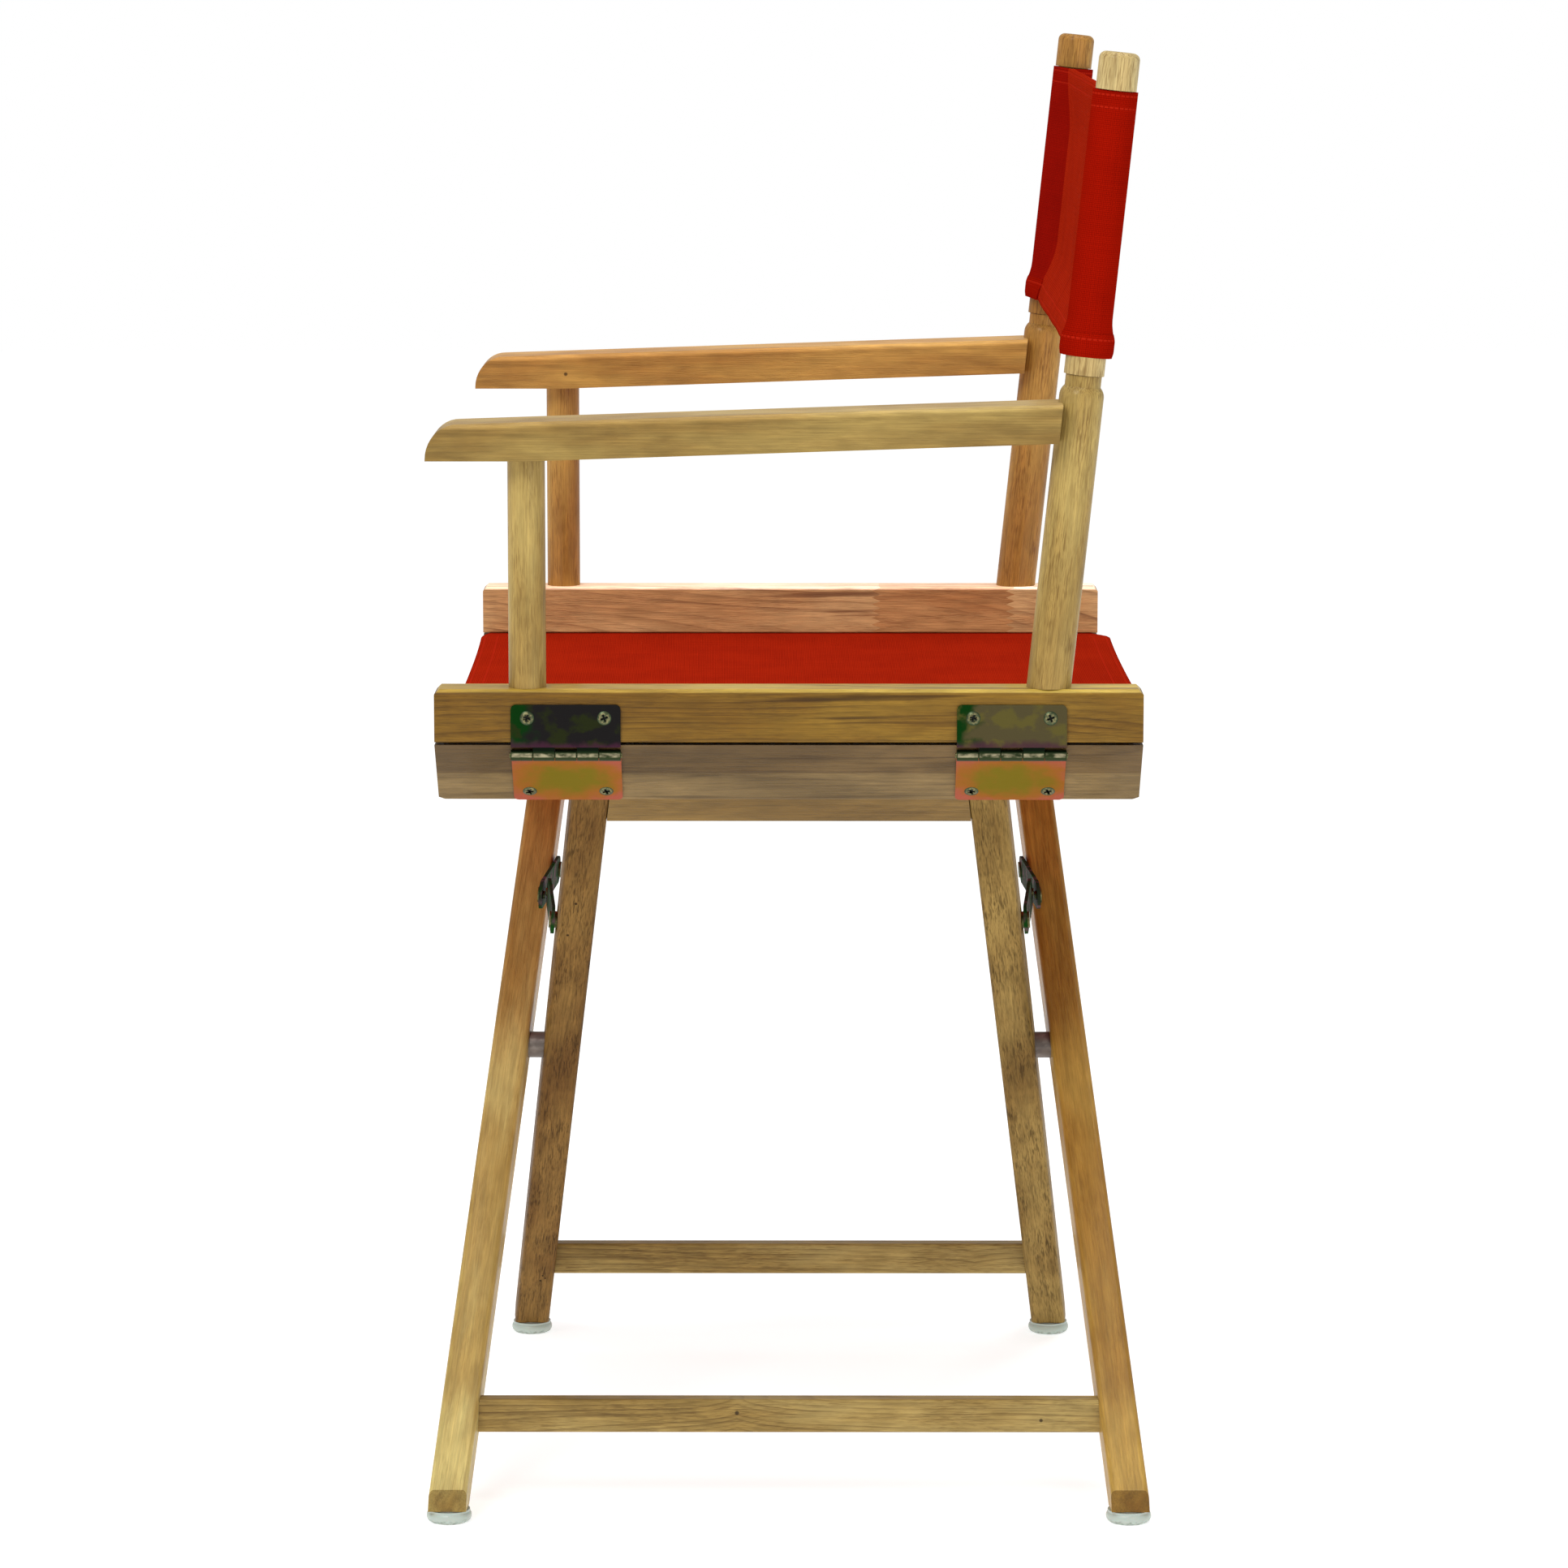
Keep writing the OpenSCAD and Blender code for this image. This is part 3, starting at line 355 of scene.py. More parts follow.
def wood(
    name, along, tone, pith=(0.06, 0.02, 0), tilt=0.02, gap=0.004, rings=0.5, pores=0.5, streaks=0.3, **more
):
    """more: knot and lift bend the rings, spots are dark dots (y, z, radius), foot greys a toe's upright
    cut, bands tint what is above a height (on the outer legs partly as painted shade), top (slope, depth,
    tint) paints light onto the upper face, sheen is the oil's shine, and joint (start, end, tint) sets a
    finger-jointed block into a rail."""
    sheen = more.get("sheen", OIL_SHEEN)
    finish = {"Coat_Weight": sheen, "Coat_Roughness": 0.12, "Specular_IOR_Level": sheen}
    material, tree, shader = new_material("wood of " + name, **finish)
    source = add(tree, "TexCoord").outputs["Object"]
    axes = add(tree, "SeparateXYZ", {0: source}).outputs
    pale, middle, dark = tone
    place = grain_place(tree, name, along)
    block = None
    if "joint" in more:
        start, end, block_colour = more["joint"]
        block = finger_block(tree, axes, start, end)
        shifted = add(tree, "VectorMath", {0: BLOCK_SHIFT, "Scale": block}, operation="SCALE").outputs[0]
        place = add(tree, "VectorMath", {0: place, 1: shifted}, operation="ADD").outputs[0]
    values = {
        "Vector": place, "Pith": Vector(pith), "Tilt": tilt, "Ring gap": gap,
        "Pale": pale, "Middle": middle, "Dark": dark, "Rings": rings, "Pores": pores, "Streaks": streaks,
        "Knot": more.get("knot", NO_KNOT), "Lift": more.get("lift", 0.0),
    }
    made = use_group(tree, grain, values)
    colour = made["Color"]
    if block is not None:
        amount = calc(tree, "MULTIPLY", block, BLOCK_TINT)
        colour = blend_colour(tree, amount, colour, block_colour, "MULTIPLY")
    for low, high, tint in more.get("bands", ()):
        amount = span(tree, axes[2], low, high)
        colour = blend_colour(tree, amount, colour, tint, "MULTIPLY")
    # Painted light: the upper face's colour is multiplied brighter, as if it caught more light from above
    if "top" in more:
        slope, depth, tint = more["top"]
        painted_light_amount = painted_light_top_mask(tree, axes, frame["nodes"][name], slope, depth)
        painted_light_colour = add(tree, "VectorMath", {0: colour, 1: tint}, operation="MULTIPLY").outputs[0]
        colour = blend_colour(tree, painted_light_amount, colour, painted_light_colour)
    for y, z, radius in more.get("spots", ()):
        spot = spot_mask(tree, axes, y, z, radius)
        colour = blend_colour(tree, calc(tree, "MULTIPLY", spot, SPOT_TINT), colour, darker(dark, 0.25))
    if "foot" in more:
        cut = calc(tree, "GREATER_THAN", calc(tree, "MULTIPLY", axes[0], more["foot"]), TOE_X - 0.0002)
        colour = blend_colour(tree, cut, colour, SAWN_END, "MULTIPLY")
    fill(tree, shader.inputs["Base Color"], colour)
    fill(tree, shader.inputs["Roughness"], made["Roughness"])
    bump(tree, shader, made["Height"], 0.0003, 0.5)
    set_material(frame["nodes"][name], material)


print("toes end at x =", round(TOE_X, 4), "m")

# %% [markdown]
# Each tone is three paints: the pale early wood, the patches between, and the dark of rings and pores. The
# chair mixes woods, so the left and the right side, and the outer and the inner legs, have tones of their
# own.

# %% Tones of the wood
STRAW = (paint(183, 157, 91), paint(157, 128, 68), paint(114, 85, 38))
ARM = (paint(158, 132, 71), paint(135, 106, 52), paint(97, 70, 28))
CREAM = (paint(213, 193, 136), paint(183, 157, 102), paint(134, 105, 59))
AMBER = (paint(185, 140, 68), paint(161, 113, 51), paint(114, 73, 27))
ROSE = (paint(208, 167, 114), paint(191, 143, 92), paint(115, 75, 47))
TAN = (paint(137, 103, 33), paint(115, 81, 21), paint(59, 36, 5))
UMBER_OAK = (paint(136, 103, 55), paint(109, 77, 39), paint(46, 29, 10))
OLIVE = (paint(157, 129, 73), paint(125, 97, 51), paint(54, 38, 15))
HONEY = (paint(206, 186, 117), paint(178, 147, 80), paint(124, 89, 39))
MAIZE = (paint(180, 144, 69), paint(155, 114, 46), paint(107, 67, 19))
DRAB = (paint(130, 101, 50), paint(113, 86, 40), paint(79, 56, 21))
OAK = (paint(172, 147, 87), paint(150, 122, 64), paint(80, 54, 21))
ASH = (paint(133, 109, 68), paint(107, 86, 51), paint(68, 50, 25))
# Multipliers for the outer legs' upper part: partly the wood's red tone, partly painted shade under the seat
REDDISH_SHADE = paint(206, 158, 118)
RUDDY_SHADE = paint(246, 226, 200)
print("straw is", [round(v, 3) for v in STRAW[0][:3]], "in linear light")


# %% [markdown]
# Grain runs along a stick, and the legs and back sticks lean. A leg's direction follows from its box,
# which it crosses from corner to corner, through about three quarters of the box's depth. A back stick
# turns in its post, so its direction is the axis of that joint.

# %% The direction of each leaning piece
LEG_RUN = 0.75
LENGTHWISE = (0, 1, 0)
UPRIGHT = (0, 0, 1)


def leg_line(name, foot_side, end):
    """From foot to top: foot_side is 1 where the foot is at +X, and end is 1 on the rear legs."""
    low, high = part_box(name)
    size = Vector(high) - Vector(low)
    return (-foot_side * size.x, -end * size.y * LEG_RUN, size.z)


record_joints = {joint["name"]: joint for joint in frame["joints"]}
stick_joint = record_joints["left_stick_turn"]
stick_up = -Vector(stick_joint["axis"])
print("back stick leans", round(math.degrees(math.atan2(stick_up.y, stick_up.z)), 2), "degrees")

# %% [markdown]
# The leg frames are two crossed pairs of legs with stretchers and rails. Nail dots and knots are listed one
# by one, where the eye rests on them, and everything else is left to the grain. The outer legs redden and
# darken towards the top, partly in their wood's tone and partly as painted shade with red bounce light under
# the seat, and the upper half of each hinge rail is a little greyer.

# %% Wood of the leg frames
NAIL_DOTS = (
    (-0.1627, 0.0454, 0.0008), (-0.1611, 0.0497, 0.0006), (-0.1595, 0.0475, 0.0006),
    (-0.1260, 0.3474, 0.0009), (-0.1319, 0.3244, 0.0008),
)
KNOT_SPOTS = ((-0.0305, 0.0554, 0.0013), (0.148, 0.051, 0.0011))
INNER_SHEEN = 0.02
for end_name, end in (("front", -1), ("rear", 1)):
    front = end < 0
    outer, inner = "outer_leg_" + end_name, "inner_leg_" + end_name
    # Above this band the outer legs are reddened and darkened: partly wood tone, partly painted shade and red
    # bounce light from the seat
    red_and_shade_band = (0.10, 0.43, REDDISH_SHADE if front else RUDDY_SHADE)
    wood(
        outer, leg_line(outer, 1, end), HONEY if front else MAIZE, (0.05, 0.01, end * 0.11), 0.03, 0.0045,
        rings=0.3, pores=0.25, streaks=0.3, bands=(red_and_shade_band,), foot=1,
    )
    wood(
        inner, leg_line(inner, -1, end), UMBER_OAK if front else OLIVE, (0.04, -0.03, end * 0.3), 0.04, 0.004,
        rings=0.35, pores=0.72, streaks=0.3, spots=NAIL_DOTS if front else (), foot=-1, sheen=INNER_SHEEN,
    )
wood(
    "outer_stretcher", LENGTHWISE, OAK, (0.004, 0.022, 0.02), 0.05, 0.0032,
    rings=0.95, pores=0.45, streaks=0.35, knot=-0.0305, lift=0.013, spots=KNOT_SPOTS,
)
wood(
    "inner_stretcher", LENGTHWISE, OAK, (0.005, 0.016, 0.09), 0.045, 0.0034,
    rings=0.9, pores=0.5, streaks=0.5, knot=0.12, lift=-0.008,
)
rail_top_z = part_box("outer_hinge_rail")[1][2]
upper_half = (rail_top_z - 0.0190, rail_top_z - 0.0185, paint(216, 208, 200))
for frame_name in ("outer", "inner"):
    hinge_rail, cross_rail = frame_name + "_hinge_rail", frame_name + "_cross_rail"
    wood(hinge_rail, LENGTHWISE, ASH, (0.05, 0.02, 0.1), 0.05, 0.004, 0.55, 0.25, 0.55, bands=(upper_half,))
    wood(cross_rail, LENGTHWISE, DRAB, (0.06, 0.03, 0.2), 0.03, 0.004, 0.4, 0.3, 0.3)
print("leg frames: outer legs run", [round(v, 3) for v in leg_line("outer_leg_front", 1, -1)], "m")

# %% [markdown]
# The side frames are a seat rail, two posts, an arm and a back stick. The faces that look up get painted
# light, so the rails and arms are lighter on top. The right rail was glued up from shorter lengths with
# fingers.

# %% Wood of the side frames
# Painted light on the tops of rails and arms: their colour is multiplied brighter there
RAIL_TOP_LIGHT = (0.0, 0.0022, (2.9, 3.8, 6.4))
ARM_TOP_LIGHT = (math.tan(math.radians(1.9)), 0.0040, (1.52, 1.58, 1.80))
FINGER_JOINT = (0.0588, 0.1460, paint(226, 196, 172))
ARM_DOTS = ((-0.1450, 0.6323, 0.0012),)
OTHER_BOARD = 0.37
for side, rail_tone, tone in (("left", TAN, STRAW), ("right", ROSE, AMBER)):
    left = side == "left"
    shift = 0.0 if left else OTHER_BOARD
    extra = {"top": RAIL_TOP_LIGHT} if left else {"top": RAIL_TOP_LIGHT, "joint": FINGER_JOINT}
    wood(
        side + "_seat_rail", LENGTHWISE, rail_tone, (0.014, 0.026, shift), 0.10, 0.0034,
        rings=1.0, pores=0.3, streaks=0.8, **extra,
    )
    wood(side + "_front_post", UPRIGHT, tone, (0.03, 0.01, shift), 0.02, 0.004, 0.3, 0.55, 0.25)
    wood(side + "_back_post", stick_up, tone, (0.03, 0.02, shift), 0.02, 0.004, 0.3, 0.75, 0.3)
    wood(
        side + "_armrest", LENGTHWISE, ARM if left else tone, (0.07, 0.03, shift), 0.05, 0.005,
        rings=0.3, pores=0.15, streaks=0.15, spots=() if left else ARM_DOTS, top=ARM_TOP_LIGHT,
    )
    wood(
        side + "_back_stick", stick_up, CREAM if left else AMBER, (0.02, 0.02, shift), 0.02, 0.0035,
        rings=0.4, pores=0.9, streaks=0.8,
    )
    wood(side + "_seat_dowel", LENGTHWISE, STRAW, (0.02, 0.02, shift))
print("woods made:", sum(m.name.startswith("wood of") for m in bpy.data.materials))


# %% [markdown]
# ## Plated metal
# The hinges and stays are zinc-plated steel, passivated in a bath that leaves a thin clear film. The
# film's thickness wanders, so the plating drifts from gold to pink and green, and on the upper leaves to a
# deep bottle green. Noise at two sizes moves the colour, and a finer one breaks up the gloss.

# %% The plating group
PLATING_BUMP = 0.00006


def make_plating():
    tree, given, result = new_group(
        "plating",
        {
            "Vector": Vector((0, 0, 0)), "Main": (0.4, 0.3, 0.1, 1.0), "Second": (0.4, 0.2, 0.2, 1.0),
            "Third": (0.1, 0.2, 0.1, 1.0), "Size": 60.0,
        },
        {"Color": "Color", "Roughness": "Float", "Height": "Float"},
    )
    sized = {0: given["Vector"], "Scale": given["Size"]}
    scaled = add(tree, "VectorMath", sized, operation="SCALE").outputs[0]
    wide = noise(tree, scaled, 1, 1, 1, 3.0)
    other = noise(tree, scaled, 1.7, 1.3, 1.9, 2.0)
    fine = noise(tree, given["Vector"], 2200, 2200, 2200, 2.0)
    scratches = noise(tree, given["Vector"], 300, 40, 3000, 2.0)
    first = blend_colour(tree, span(tree, wide, 0.46, 0.66), given["Main"], given["Second"])
    second = blend_colour(tree, span(tree, other, 0.52, 0.70), first, given["Third"])
    speckled = blend_colour(tree, span(tree, fine, 0.55, 0.8, 0.0, 0.35), second, given["Third"])
    fill(tree, result["Color"], speckled)
    fill(tree, result["Roughness"], span(tree, scratches, 0.3, 0.7, 0.30, 0.46))
    fill(tree, result["Height"], calc(tree, "ADD", fine, calc(tree, "MULTIPLY", scratches, 0.5)))
    return tree


plating = make_plating()
print("plating group:", len(plating.nodes), "nodes")


# %% Plating a part
def plated(name, nodes, colours, metal, size, ior=1.5):
    material, tree, shader = new_material(name, Metallic=metal, IOR=ior)
    main, second, third = colours
    source = add(tree, "TexCoord").outputs["Object"]
    values = {"Vector": source, "Main": main, "Second": second, "Third": third, "Size": size}
    made = use_group(tree, plating, values)
    fill(tree, shader.inputs["Base Color"], made["Color"])
    fill(tree, shader.inputs["Roughness"], made["Roughness"])
    bump(tree, shader, made["Height"], PLATING_BUMP, 0.6)
    for node in nodes:
        set_material(frame["nodes"][node], material)


def nodes_with(*words):
    return [name for name in frame["nodes"] if all(word in name for word in words)]


print("metal on the stays:", nodes_with("stay"))

# %% [markdown]
# A hinge is two folded leaves on a pin. Their colour depends on where on the leaf it is: the upper leaves
# are bottle green at one end and tarnish to gold, the lower ones are gold in the middle and pink at the
# rim, and the barrel has a painted highlight along one line, with painted shade at its top and on the upper
# leaf's tabs behind it. So each leaf measures from its own middle and from the pin.

# %% The colours on a hinge leaf
UPPER_WARM = (paint(80, 72, 46), paint(94, 86, 40))
UPPER_COOL = (paint(28, 26, 26), paint(38, 44, 16))
pin_low, pin_high = (Vector(corner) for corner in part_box("left_hinge_pins"))
BARREL_X, BARREL_Z = (pin_low.x + pin_high.x) / 2, (pin_low.z + pin_high.z) / 2
BARREL_R, TAB_TOP = 0.0032, 0.0049
LEAF_MIDDLE, LEAF_HALF = 0.017, 0.013
KNUCKLES = 5


def upper_leaf(tree, source, across, above, ragged, warm):
    main, dull = UPPER_WARM if warm else UPPER_COOL
    spread = calc(tree, "ADD", across, ragged)
    leaf = blend_colour(tree, span(tree, spread, -0.95, -0.45), paint(6, 50, 8), main)
    tarnish = span(tree, noise(tree, source, 75, 75, 110, 3.0), 0.48, 0.62)
    leaf = blend_colour(tree, calc(tree, "MULTIPLY", tarnish, 0.8), leaf, dull)
    wavy = calc(tree, "ADD", above, calc(tree, "MULTIPLY", ragged, 0.008))
    leaf = blend_colour(tree, span(tree, wavy, 0.0050, 0.0095, 0.75, 0.0), leaf, paint(70, 34, 54))
    # Below the tabs' top the upper leaf is painted near black, a painted shadow on the tabs behind the barrel
    return blend_colour(tree, calc(tree, "LESS_THAN", above, TAB_TOP), leaf, paint(10, 20, 8))


def lower_leaf(tree, across, above, ragged):
    middle = calc(tree, "DIVIDE", calc(tree, "ADD", above, LEAF_MIDDLE), LEAF_HALF)
    away = calc(tree, "ADD", squares(tree, across, middle), ragged)
    leaf = blend_colour(tree, span(tree, away, 0.05, 1.0), paint(118, 102, 0), paint(152, 92, 24))
    return blend_colour(tree, span(tree, away, 0.8, 1.7), leaf, paint(166, 84, 62))


def hinge_barrel(tree, source, along, above):
    """A dark roll with one painted highlight line, broken where the knuckles meet, and painted shade on its
    upper part; along runs from 0 to 1 on the pin.
    """
    # A painted highlight runs along the roll just above the pin's height, broken up by this noise
    highlight_breakup = span(tree, noise(tree, source, 300, 160, 300, 3.0), 0.35, 0.70)
    shine = near(tree, above, 0.0004, 0.0004, 0.0016)
    knuckle = calc(tree, "FRACT", calc(tree, "MULTIPLY", along, KNUCKLES))
    joint = near(tree, knuckle, 0.5, 0.44, 0.48)
    lit = calc(tree, "MULTIPLY", calc(tree, "MULTIPLY", highlight_breakup, shine), calc(tree, "MULTIPLY", joint, 0.85))
    barrel = blend_colour(tree, lit, paint(46, 56, 32), paint(190, 178, 144))
    # Painted shade darkens the roll's upper part, under the upper leaf
    gap = span(tree, above, BARREL_R * 0.35, BARREL_R * 0.85)
    return blend_colour(tree, gap, barrel, paint(16, 34, 14))


print("hinge pins lie at x =", round(BARREL_X, 4), "and z =", round(BARREL_Z, 4))


# %% Plating of the hinges
def hinge_material(name, node, upper, warm):
    material, tree, shader = new_material(name, Metallic=0.72, Specular_IOR_Level=0.12)
    low, high = (Vector(corner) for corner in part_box(node))
    side = 1 if low.x > 0 else -1
    source = add(tree, "TexCoord").outputs["Object"]
    axes = add(tree, "SeparateXYZ", {0: source}).outputs
    out = calc(tree, "SUBTRACT", calc(tree, "MULTIPLY", axes[0], side), BARREL_X)
    above = calc(tree, "SUBTRACT", axes[2], BARREL_Z)
    from_pin = calc(tree, "SQRT", squares(tree, out, above))
    middle_y, half = (low.y + high.y) / 2, (high.y - low.y) / 2
    across = calc(tree, "DIVIDE", calc(tree, "SUBTRACT", axes[1], middle_y), half)
    clouds = calc(tree, "SUBTRACT", noise(tree, source, 95, 95, 95, 3.0), 0.5)
    ragged = calc(tree, "MULTIPLY", clouds, 1.5)
    if upper:
        leaf = upper_leaf(tree, source, across, above, ragged, warm)
    else:
        leaf = lower_leaf(tree, across, above, ragged)
    along = calc(tree, "DIVIDE", calc(tree, "SUBTRACT", axes[1], low.y), high.y - low.y)
    barrel = hinge_barrel(tree, source, along, above)
    on_barrel = span(tree, from_pin, BARREL_R + 0.0009, BARREL_R + 0.0013, 1.0, 0.0)
    colour = blend_colour(tree, on_barrel, leaf, barrel)
    fine = noise(tree, source, 2200, 2200, 2200, 2.0)
    scratches = noise(tree, source, 300, 40, 3000, 2.0)
    fill(tree, shader.inputs["Base Color"], colour)
    fill(tree, shader.inputs["Roughness"], span(tree, scratches, 0.3, 0.7, 0.28, 0.42))
    bump(tree, shader, calc(tree, "ADD", fine, calc(tree, "MULTIPLY", scratches, 0.5)), PLATING_BUMP, 0.6)
    set_material(frame["nodes"][node], material)


hinge_leaves = nodes_with("hinge", "lower") + nodes_with("hinge", "upper")
for hinge_node in hinge_leaves:
    hinge_material("plating of " + hinge_node, hinge_node, "upper" in hinge_node, "rear" in hinge_node)
print("hinge leaves plated:", len(hinge_leaves))

# %% [markdown]
# The hinge screws have a cross for the driver. It is too small to be worth cutting, so it is painted: its
# recess is near black as painted shade, and the head's rim is darkened by painted shade where it sinks into
# the leaf.
# The four screws in a row lie symmetrically, and folding the row over twice makes one cross serve them all.

# %% Screws with a dark cross
HALF_HINGE = 0.0318
HINGE_Y = (pin_high.y - pin_low.y) / 2 - HALF_HINGE
SCREW_R = 0.004
LEG_TILT = math.radians(45.8)
# The cosine and sine of the 20 degrees by which the crosses are turned
CROSS_COS, CROSS_SIN = 0.94, 0.342


def screw_cross(tree, dy, dz, away):
    """1 on two thin bars at right angles, as far out as the driver's bit reaches."""
    arms = []
    for first, second, sign in ((dy, dz, 1), (dz, dy, -1)):
        lean_in = calc(tree, "MULTIPLY", second, CROSS_SIN * sign)
        turned = calc(tree, "ADD", calc(tree, "MULTIPLY", first, CROSS_COS), lean_in)
        arms.append(near(tree, turned, 0.0, 0.0004, 0.0008))
    return calc(tree, "MULTIPLY", calc(tree, "MAXIMUM", *arms), span(tree, away, 0.0019, 0.0024, 1.0, 0.0))


def screw_material(name, node):
    material, tree, shader = new_material(name, Metallic=0.7)
    low, high = (Vector(corner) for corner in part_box(node))
    source = add(tree, "TexCoord").outputs["Object"]
    axes = add(tree, "SeparateXYZ", {0: source}).outputs
    pin_y = calc(tree, "SUBTRACT", calc(tree, "ABSOLUTE", axes[1]), HINGE_Y)
    dy = calc(tree, "SUBTRACT", calc(tree, "ABSOLUTE", pin_y), high.y - SCREW_R - HINGE_Y)
    tall = SCREW_R if "upper" in node else SCREW_R * math.cos(LEG_TILT)
    head_z = high.z - SCREW_R if "upper" in node else low.z + tall + 0.0001
    dz = calc(tree, "DIVIDE", calc(tree, "SUBTRACT", axes[2], head_z), tall / SCREW_R)
    away = calc(tree, "SQRT", squares(tree, dy, dz))
    cross = screw_cross(tree, dy, dz, away)
    # The head's rim is painted darker, a painted shade where the head sinks into its countersink
    ring = span(tree, away, 0.0026, 0.0040)
    mottled = span(tree, noise(tree, source, 800, 800, 800, 2.0), 0.4, 0.65)
    face = blend_colour(tree, mottled, paint(78, 86, 58), paint(136, 128, 88))
    rimmed = blend_colour(tree, ring, face, paint(40, 58, 34))
    # The cross is painted near black, a painted shade in the driver's recess
    fill(tree, shader.inputs["Base Color"], blend_colour(tree, cross, rimmed, paint(8, 12, 6)))
    fill(tree, shader.inputs["Roughness"], span(tree, mottled, 0.0, 1.0, 0.30, 0.42))
    set_material(frame["nodes"][node], material)


for screw_node in nodes_with("screws"):
    screw_material("plating of " + screw_node, screw_node)
print("sets of screws:", len(nodes_with("screws")))

# %% [markdown]
# Stays, rivets, bolts and spacers are the same plating in other colours. The stays hide between the legs,
# dark and without gloss, the spacers are dull, and the bolts are bright.

# %% Plating of the small metal
GREEN_GOLD = (paint(104, 102, 62), paint(70, 84, 50), paint(150, 140, 100))
STAY_DARK = (paint(46, 56, 40), paint(18, 66, 20), paint(104, 78, 84))
UMBER = (paint(112, 102, 94), paint(96, 86, 80), paint(128, 118, 110))
BRIGHT = (paint(150, 146, 138), paint(132, 128, 120), paint(164, 162, 156))
stay_rivets = nodes_with("stay", "rivet")
plated("green gold zinc", nodes_with("hinge_pins") + stay_rivets, GREEN_GOLD, 0.8, 140.0)
stay_links = [name for name in nodes_with("stay") if name not in stay_rivets]
plated("dark zinc", stay_links, STAY_DARK, 0.0, 60.0, ior=1.02)
plated("umber zinc", nodes_with("pivot", "spacer"), UMBER, 0.35, 90.0)
plated("bright zinc", [name for name in nodes_with("pivot") if "spacer" not in name], BRIGHT, 0.9, 90.0)
print("small metal finishes:", [m.name for m in bpy.data.materials if m.name.endswith("zinc")])

# %% [markdown]
# ## Glides
# The nail-on glides are pale moulded plastic. They touch the floor, so a soft mottle of scuffs darkens
# them.

# %% Glide plastic
glide_material, glide_tree, glide_shader = new_material("glide plastic", Subsurface_Weight=0.08)
glide_place = add(glide_tree, "TexCoord").outputs["Object"]
glide_height = add(glide_tree, "SeparateXYZ", {0: glide_place}).outputs[2]
near_floor = span(glide_tree, glide_height, 0.0, 0.005, 1.0, 0.35)
scuffs = calc(glide_tree, "MULTIPLY", noise(glide_tree, glide_place, 420, 420, 900, 4.0), near_floor)
scuffed = span(glide_tree, scuffs, 0.30, 0.62)
glide_colour = blend_colour(glide_tree, scuffed, paint(178, 190, 180), paint(122, 132, 120))
fill(glide_tree, glide_shader.inputs["Base Color"], glide_colour)
fill(glide_tree, glide_shader.inputs["Roughness"], span(glide_tree, scuffs, 0.2, 0.7, 0.34, 0.6))
bump(glide_tree, glide_shader, scuffs, 0.0002, 0.4)
for glide_node in nodes_with("glides"):
    set_material(frame["nodes"][glide_node], glide_material)
print("glides finished:", nodes_with("glides"))


# %% [markdown]
# ## Canvas
# Cotton duck is a plain weave: each thread goes over one and under the next. Two sine waves multiplied
# give just that, a bump wherever both threads rise, and the pattern reads the cloth's own UV map in metres
# so that the threads keep their real pitch round every bend. Slubs are threads that are a little thick or
# dark.

# %% The weave group
THREAD = 0.0011


def make_weave():
    tree, given, result = new_group(
        "canvas weave",
        {
            "UV": Vector((0, 0, 0)), "Pitch": THREAD,
            "Light": (0.4, 0.02, 0.01, 1.0), "Shade": (0.2, 0.01, 0.0, 1.0),
        },
        {"Color": "Color", "Roughness": "Float", "Height": "Float"},
    )
    parts = add(tree, "SeparateXYZ", {0: given["UV"]}).outputs
    half_turns = [calc(tree, "MULTIPLY", part, math.pi) for part in parts[:2]]
    turns = [calc(tree, "DIVIDE", part, given["Pitch"]) for part in half_turns]
    over = calc(tree, "MULTIPLY", calc(tree, "SINE", turns[0]), calc(tree, "SINE", turns[1]))
    crossing = calc(tree, "ABSOLUTE", over)
    warp = noise(tree, given["UV"], 1250, 12, 1, 1.0)
    weft = noise(tree, given["UV"], 12, 1250, 1, 1.0)
    slubs = span(tree, calc(tree, "ADD", warp, weft), 0.70, 1.30)
    cloudy = noise(tree, given["UV"], 30, 30, 1, 3.0)
    depth = span(tree, crossing, 0.0, 0.7, 0.62, 0.0)
    tone = calc(tree, "ADD", depth, calc(tree, "MULTIPLY", slubs, 0.16))
    cloud = span(tree, cloudy, 0.3, 0.7, -0.08, 0.08)
    colour = blend_colour(tree, calc(tree, "ADD", tone, cloud), given["Light"], given["Shade"])
    fill(tree, result["Color"], colour)
    fill(tree, result["Roughness"], span(tree, slubs, 0.0, 1.0, 0.78, 0.92))
    relief = calc(tree, "ADD", calc(tree, "MULTIPLY", over, 0.5), calc(tree, "MULTIPLY", slubs, 0.3))
    fill(tree, result["Height"], relief)
    return tree


weave = make_weave()
print("weave: a thread every", THREAD * 1000, "mm")


# %% [markdown]
# Rows of stitches hold the hems. Each row is a line at a set distance from an edge, cut into dashes along
# it.

# %% The stitch group
def make_stitches():
    tree, given, result = new_group(
        "stitches",
        {"Along": 0.0, "Across": 0.0, "Row": 0.01, "Pitch": 0.0032, "Width": 0.0005},
        {"Mask": "Float", "Pucker": "Float"},
    )
    away = calc(tree, "ABSOLUTE", calc(tree, "SUBTRACT", given["Across"], given["Row"]))
    widths = calc(tree, "DIVIDE", away, given["Width"])
    line = span(tree, widths, 0.8, 1.3, 1.0, 0.0)
    step = calc(tree, "FRACT", calc(tree, "DIVIDE", given["Along"], given["Pitch"]))
    dash = near(tree, step, 0.5, 0.36, 0.42)
    fill(tree, result["Mask"], calc(tree, "MULTIPLY", line, dash))
    fill(tree, result["Pucker"], span(tree, widths, 0.0, 4.5, 1.0, 0.0))
    return tree


stitches = make_stitches()
print("stitch group:", len(stitches.nodes), "nodes")

